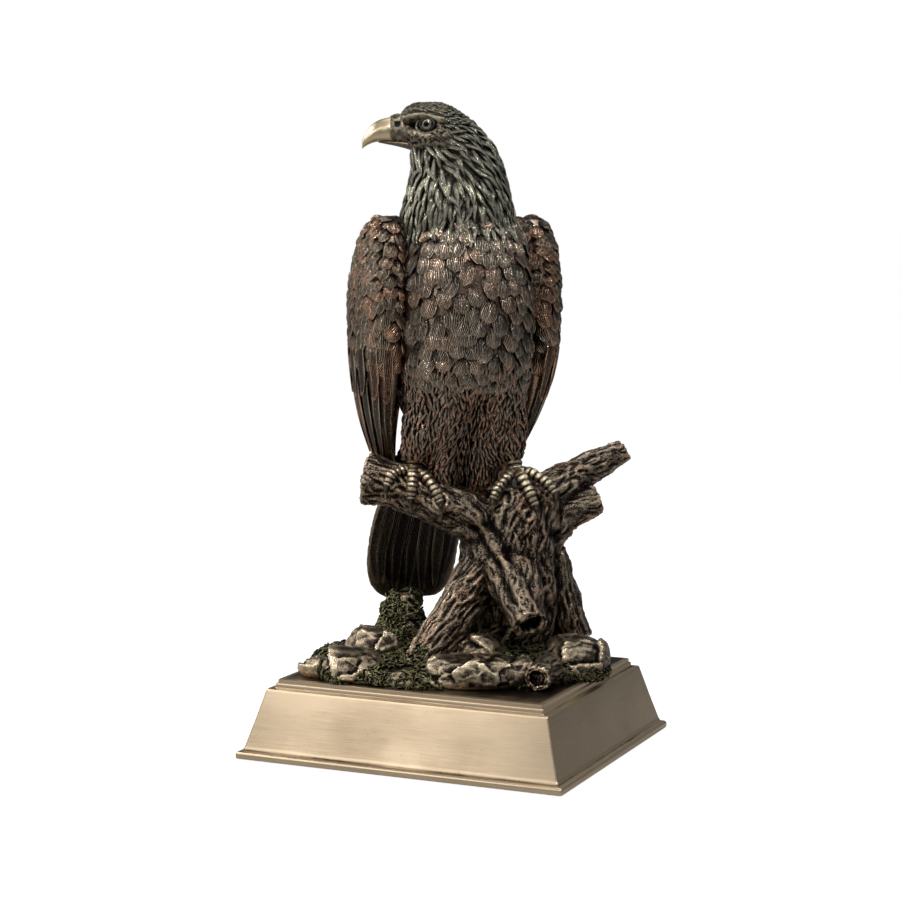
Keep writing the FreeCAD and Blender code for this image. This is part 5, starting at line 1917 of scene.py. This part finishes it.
@dataclass
class Plinth:
    """The stepped brass plinth as one moulded shell, over its packed board, felt and fixings."""

    deck: float
    width: float = 165.0
    depth: float = 145.0
    floor: float = 0.6
    wall: float = 3.5
    thickness: float = 5.0
    corner: float = 0.9
    spread: int = 6
    finishes: dict[str, Brushed] = field(
        default_factory=lambda: {
            "bottom_board": BOARD,
            "felt_pad": FELT,
            "board_screws": STEEL,
            "mounting_studs": STEEL,
            "stud_washers": STEEL,
            "stud_nuts": STEEL,
            "foot_pins": STEEL,
            "wing_dowels": STEEL,
            "neck_dowel": STEEL,
            "tail_dowel": STEEL,
        }
    )

    def profile(self) -> list[tuple[float, float, float]]:
        """The shell's section from its inner top, down, out and up to the deck.

        Returns:
            For each edge: inset from the outline, height, and painted light from about 0 to 1, high for a
                painted highlight on a rounded edge and low for painted shade in a groove; the deck's top
                goes below 0, which makes it darker.
        """
        top, low = self.deck, self.floor
        return [
            (11.1 + self.wall + 1.5, top - self.thickness, 0.3),
            (11.1 + self.wall, top - self.thickness - 1.5, 0.3), (2.9 + self.wall, 5.6, 0.3),
            (2.9 + self.wall, low + 0.3, 0.4), (2.9 + self.wall - 0.3, low, 0.4), (0.7, low, 0.5),
            (0.2, low + 0.2, 0.7), (0.0, low + 0.7, 0.8), (0.0, low + 2.2, 0.6),
            (0.15, low + 2.8, 0.9), (0.5, low + 3.25, 1.0), (1.0, low + 3.5, 0.9),
            (2.0, low + 3.6, 0.3), (2.5, low + 3.7, 0.1), (2.62, low + 4.0, 0.0),
            (2.7, low + 4.6, 0.35), (3.0, low + 5.0, 0.6), (3.35, low + 6.0, 0.5), (6.9, 18.5, 0.5),
            (10.7, 31.9, 0.55), (10.95, 32.7, 0.9), (11.2, 33.0, 1.0), (11.6, 33.1, 0.9),
            (13.4, 33.1, 0.2), (13.9, 33.15, 0.0), (14.05, 33.4, 0.1), (14.1, 33.8, 0.5),
            (14.15, 35.0, 0.6), (14.3, 35.3, 0.95), (14.6, 35.4, 0.5), (14.95, 35.5, 0.1),
            (15.0, 35.8, 0.4), (15.0, top - 0.7, 0.6), (15.1, top - 0.25, 0.95),
            (15.4, top - 0.05, 1.0), (15.9, top, 0.6), (18.0, top, -0.25), (30.0, top, -0.35),
        ]

    def outline(self, inset: float) -> Array:
        """A rectangle with small round corners, inset from the plinth's outline."""
        points = []
        for turn, (x, y) in enumerate(((1, 1), (-1, 1), (-1, -1), (1, -1))):
            for step in range(self.spread):
                angle = (turn + step / (self.spread - 1)) * math.pi / 2
                across = x * (self.width / 2 - inset - self.corner) + self.corner * math.cos(angle)
                back = y * (self.depth / 2 - inset - self.corner) + self.corner * math.sin(angle)
                points.append((across, back))
        return np.array(points)

    def build(self, nodes: dict[str, bpy.types.Object]) -> None:
        """Mould the shell and dress each packed casting that stays."""
        lines = self.profile()
        rings = [
            np.column_stack([self.outline(inset), np.full(4 * self.spread, height)])
            for inset, height, _ in lines
        ]
        piece = extruded_loft("plinth_moulding", rings)
        # Painted highlights along the moulding's rounded edges and painted shade in its grooves; the deck's
        # top is set darker.
        mark(piece, "painted_edge_light", self.painted_edge_light(piece, lines))
        piece.data.update()
        select_only(piece)
        bpy.ops.object.shade_smooth_by_angle(angle=math.radians(40))
        settle(piece, PLINTH_BRASS, "plinth_brass", "plinth_shell")
        for name, finish in self.finishes.items():
            dress(nodes[name], finish)
            LOG.info("%s: packed casting, %s", name, finish.name)

    def painted_edge_light(self, piece: bpy.types.Object, lines: Sequence[tuple[float, float, float]]) -> Array:
        """Painted light at each vertex, from the profile's nearest edge: a painted highlight on rounded
        edges, painted shade in grooves.
        """
        points = vertices_of(piece)
        inset = np.minimum(self.width / 2 - np.abs(points[:, 0]), self.depth / 2 - np.abs(points[:, 1]))
        table = np.array(lines)
        gap = (inset[:, None] - table[None, :, 0]) ** 2 + (points[:, 2:] - table[None, :, 1]) ** 2
        return table[gap.argmin(1), 2]


WARM_LIGHT = (1.0, 0.99, 0.97)
COOL_LIGHT = (0.96, 0.98, 1.0)
WHITE_LIGHT = (1.0, 1.0, 1.0)


@dataclass
class Studio:
    """A pale floor, soft boxes and the camera."""

    azimuth: float = 24.24
    elevation: float = 6.135
    distance: float = 1.0455
    target: tuple[float, float, float] = (-0.004, 0.0, 0.1433)
    lens: float = 87.2
    lights: tuple = (
        ("key", (-0.55, -0.95, 0.5), (0.8, 0.7), 3.3, WARM_LIGHT),
        ("spark", (0.25, -0.85, 1.15), (0.14, 0.14), 8.0, WARM_LIGHT),
        ("rim", (-1.15, -0.25, 0.95), (0.15, 0.22), 7.0, WARM_LIGHT),
        ("edge", (1.1, 0.45, 1.1), (0.15, 0.2), 3.2, (0.97, 0.98, 1.0)),
        ("left", (-1.1, 0.0, 0.35), (0.4, 1.0), 2.2, WARM_LIGHT),
        ("top", (0.0, 0.1, 1.1), (0.7, 0.5), 2.6, COOL_LIGHT),
        ("right", (0.9, -0.6, 0.9), (0.12, 0.4), 1.0, COOL_LIGHT),
        ("back", (0.25, 0.85, 1.0), (0.5, 0.4), 1.2, WHITE_LIGHT),
    )

    def build(self) -> None:
        """Lay the floor, hang the lights and set the camera up."""
        self.lay_floor()
        self.set_world()
        middle = Vector((0, 0, 0.15))
        for name, place, size, watts, tint in self.lights:
            self.soft_box(name, middle + Vector(place), middle, size, watts, tint)
        camera = bpy.data.objects.new("camera", bpy.data.cameras.new("camera"))
        bpy.context.scene.collection.objects.link(camera)
        turn, tilt = math.radians(self.azimuth), math.radians(self.elevation)
        back = Vector((math.sin(turn) * math.cos(tilt), -math.cos(turn) * math.cos(tilt), math.sin(tilt)))
        camera.location = Vector(self.target) + back * self.distance
        camera.rotation_euler = back.to_track_quat("Z", "Y").to_euler()
        camera.data.lens = self.lens
        camera.data.sensor_width = 36.0
        bpy.context.scene.camera = camera
        bpy.context.scene.view_settings.view_transform = "Standard"

    def lay_floor(self) -> None:
        """A wide pale floor under the object."""
        clear_selection()
        bpy.ops.mesh.primitive_plane_add(size=80.0, location=(0, 0, 0))
        floor = bpy.context.object
        floor.name = "floor"
        material = bpy.data.materials.new("pale_floor")
        material.use_nodes = True
        desk = NodeDesk(material)
        tone = desk.ramp(desk.noise(60.0, 2.0), ((0.3, (0.36, 0.36, 0.36)), (0.7, (0.38, 0.38, 0.38))))
        desk.link(tone, desk.shader.inputs["Base Color"])
        desk.shader.inputs["Roughness"].default_value = 0.7
        desk.shader.inputs["Emission Color"].default_value = (1.0, 1.0, 1.0, 1.0)
        rays = desk.add("ShaderNodeLightPath").outputs["Is Camera Ray"]
        desk.link(desk.maths("MULTIPLY", rays, 0.94), desk.shader.inputs["Emission Strength"])
        floor.data.materials.append(material)

    def set_world(self) -> None:
        """White behind the object, and a dimmer surround for reflections."""
        world = bpy.data.worlds.new("surround")
        world.use_nodes = True
        bpy.context.scene.world = world
        nodes, links = world.node_tree.nodes, world.node_tree.links
        nodes.clear()
        output = nodes.new("ShaderNodeOutputWorld")
        both = nodes.new("ShaderNodeMixShader")
        seen, felt = nodes.new("ShaderNodeBackground"), nodes.new("ShaderNodeBackground")
        seen.inputs["Color"].default_value = (1.0, 1.0, 1.0, 1.0)
        seen.inputs["Strength"].default_value = 1.0
        felt.inputs["Color"].default_value = (0.92, 0.96, 1.0, 1.0)
        felt.inputs["Strength"].default_value = 0.14
        rays = nodes.new("ShaderNodeLightPath")
        links.new(rays.outputs["Is Camera Ray"], both.inputs["Fac"])
        links.new(felt.outputs["Background"], both.inputs[1])
        links.new(seen.outputs["Background"], both.inputs[2])
        links.new(both.outputs["Shader"], output.inputs["Surface"])

    def soft_box(
        self, name: str, place: Vector, aim: Vector, size: tuple[float, float], watts: float, tint: Colour
    ) -> None:
        """Hang one rectangular soft light that faces a point."""
        light = bpy.data.lights.new(name, "AREA")
        light.shape = "RECTANGLE"
        light.size, light.size_y = size
        light.energy = watts
        light.color = tint
        lamp = bpy.data.objects.new(name, light)
        bpy.context.scene.collection.objects.link(lamp)
        lamp.location = place
        lamp.rotation_euler = (place - aim).to_track_quat("Z", "Y").to_euler()


def main() -> None:
    """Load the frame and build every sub-assembly around it."""
    logging.basicConfig(level=logging.INFO, format="%(message)s")
    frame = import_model()
    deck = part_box("plinth_shell")[1][2] / MM
    perch = deck + PERCH_HEIGHT
    Studio().build()
    patterns = {kind: make_template(kind) for kind in Plume}
    Plinth(deck).build(frame["nodes"])
    moss = Moss(patterns, deck)
    moss.build(*Rockwork(deck).build())
    Tree(deck, perch).build()
    moss.creep("right_moss", bpy.data.objects["broken_right_rock"], 260, 7.0, 61)
    moss.creep("back_left_moss", bpy.data.objects["broken_back_left_rock"], 300, 9.0, 62)
    moss.creep("left_moss", bpy.data.objects["broken_left_rock"], 160, 4.0, 63)
    moss.creep("root_moss", bpy.data.objects["tree"], 1100, 12.0, 64)
    Eagle(perch, patterns).build()
    Head(perch).build()
    for name, rods in TOES.items():
        Foot(perch, name, rods).build()
    for template in patterns.values():
        bpy.data.objects.remove(template.piece)


if __name__ == "__main__":
    main()
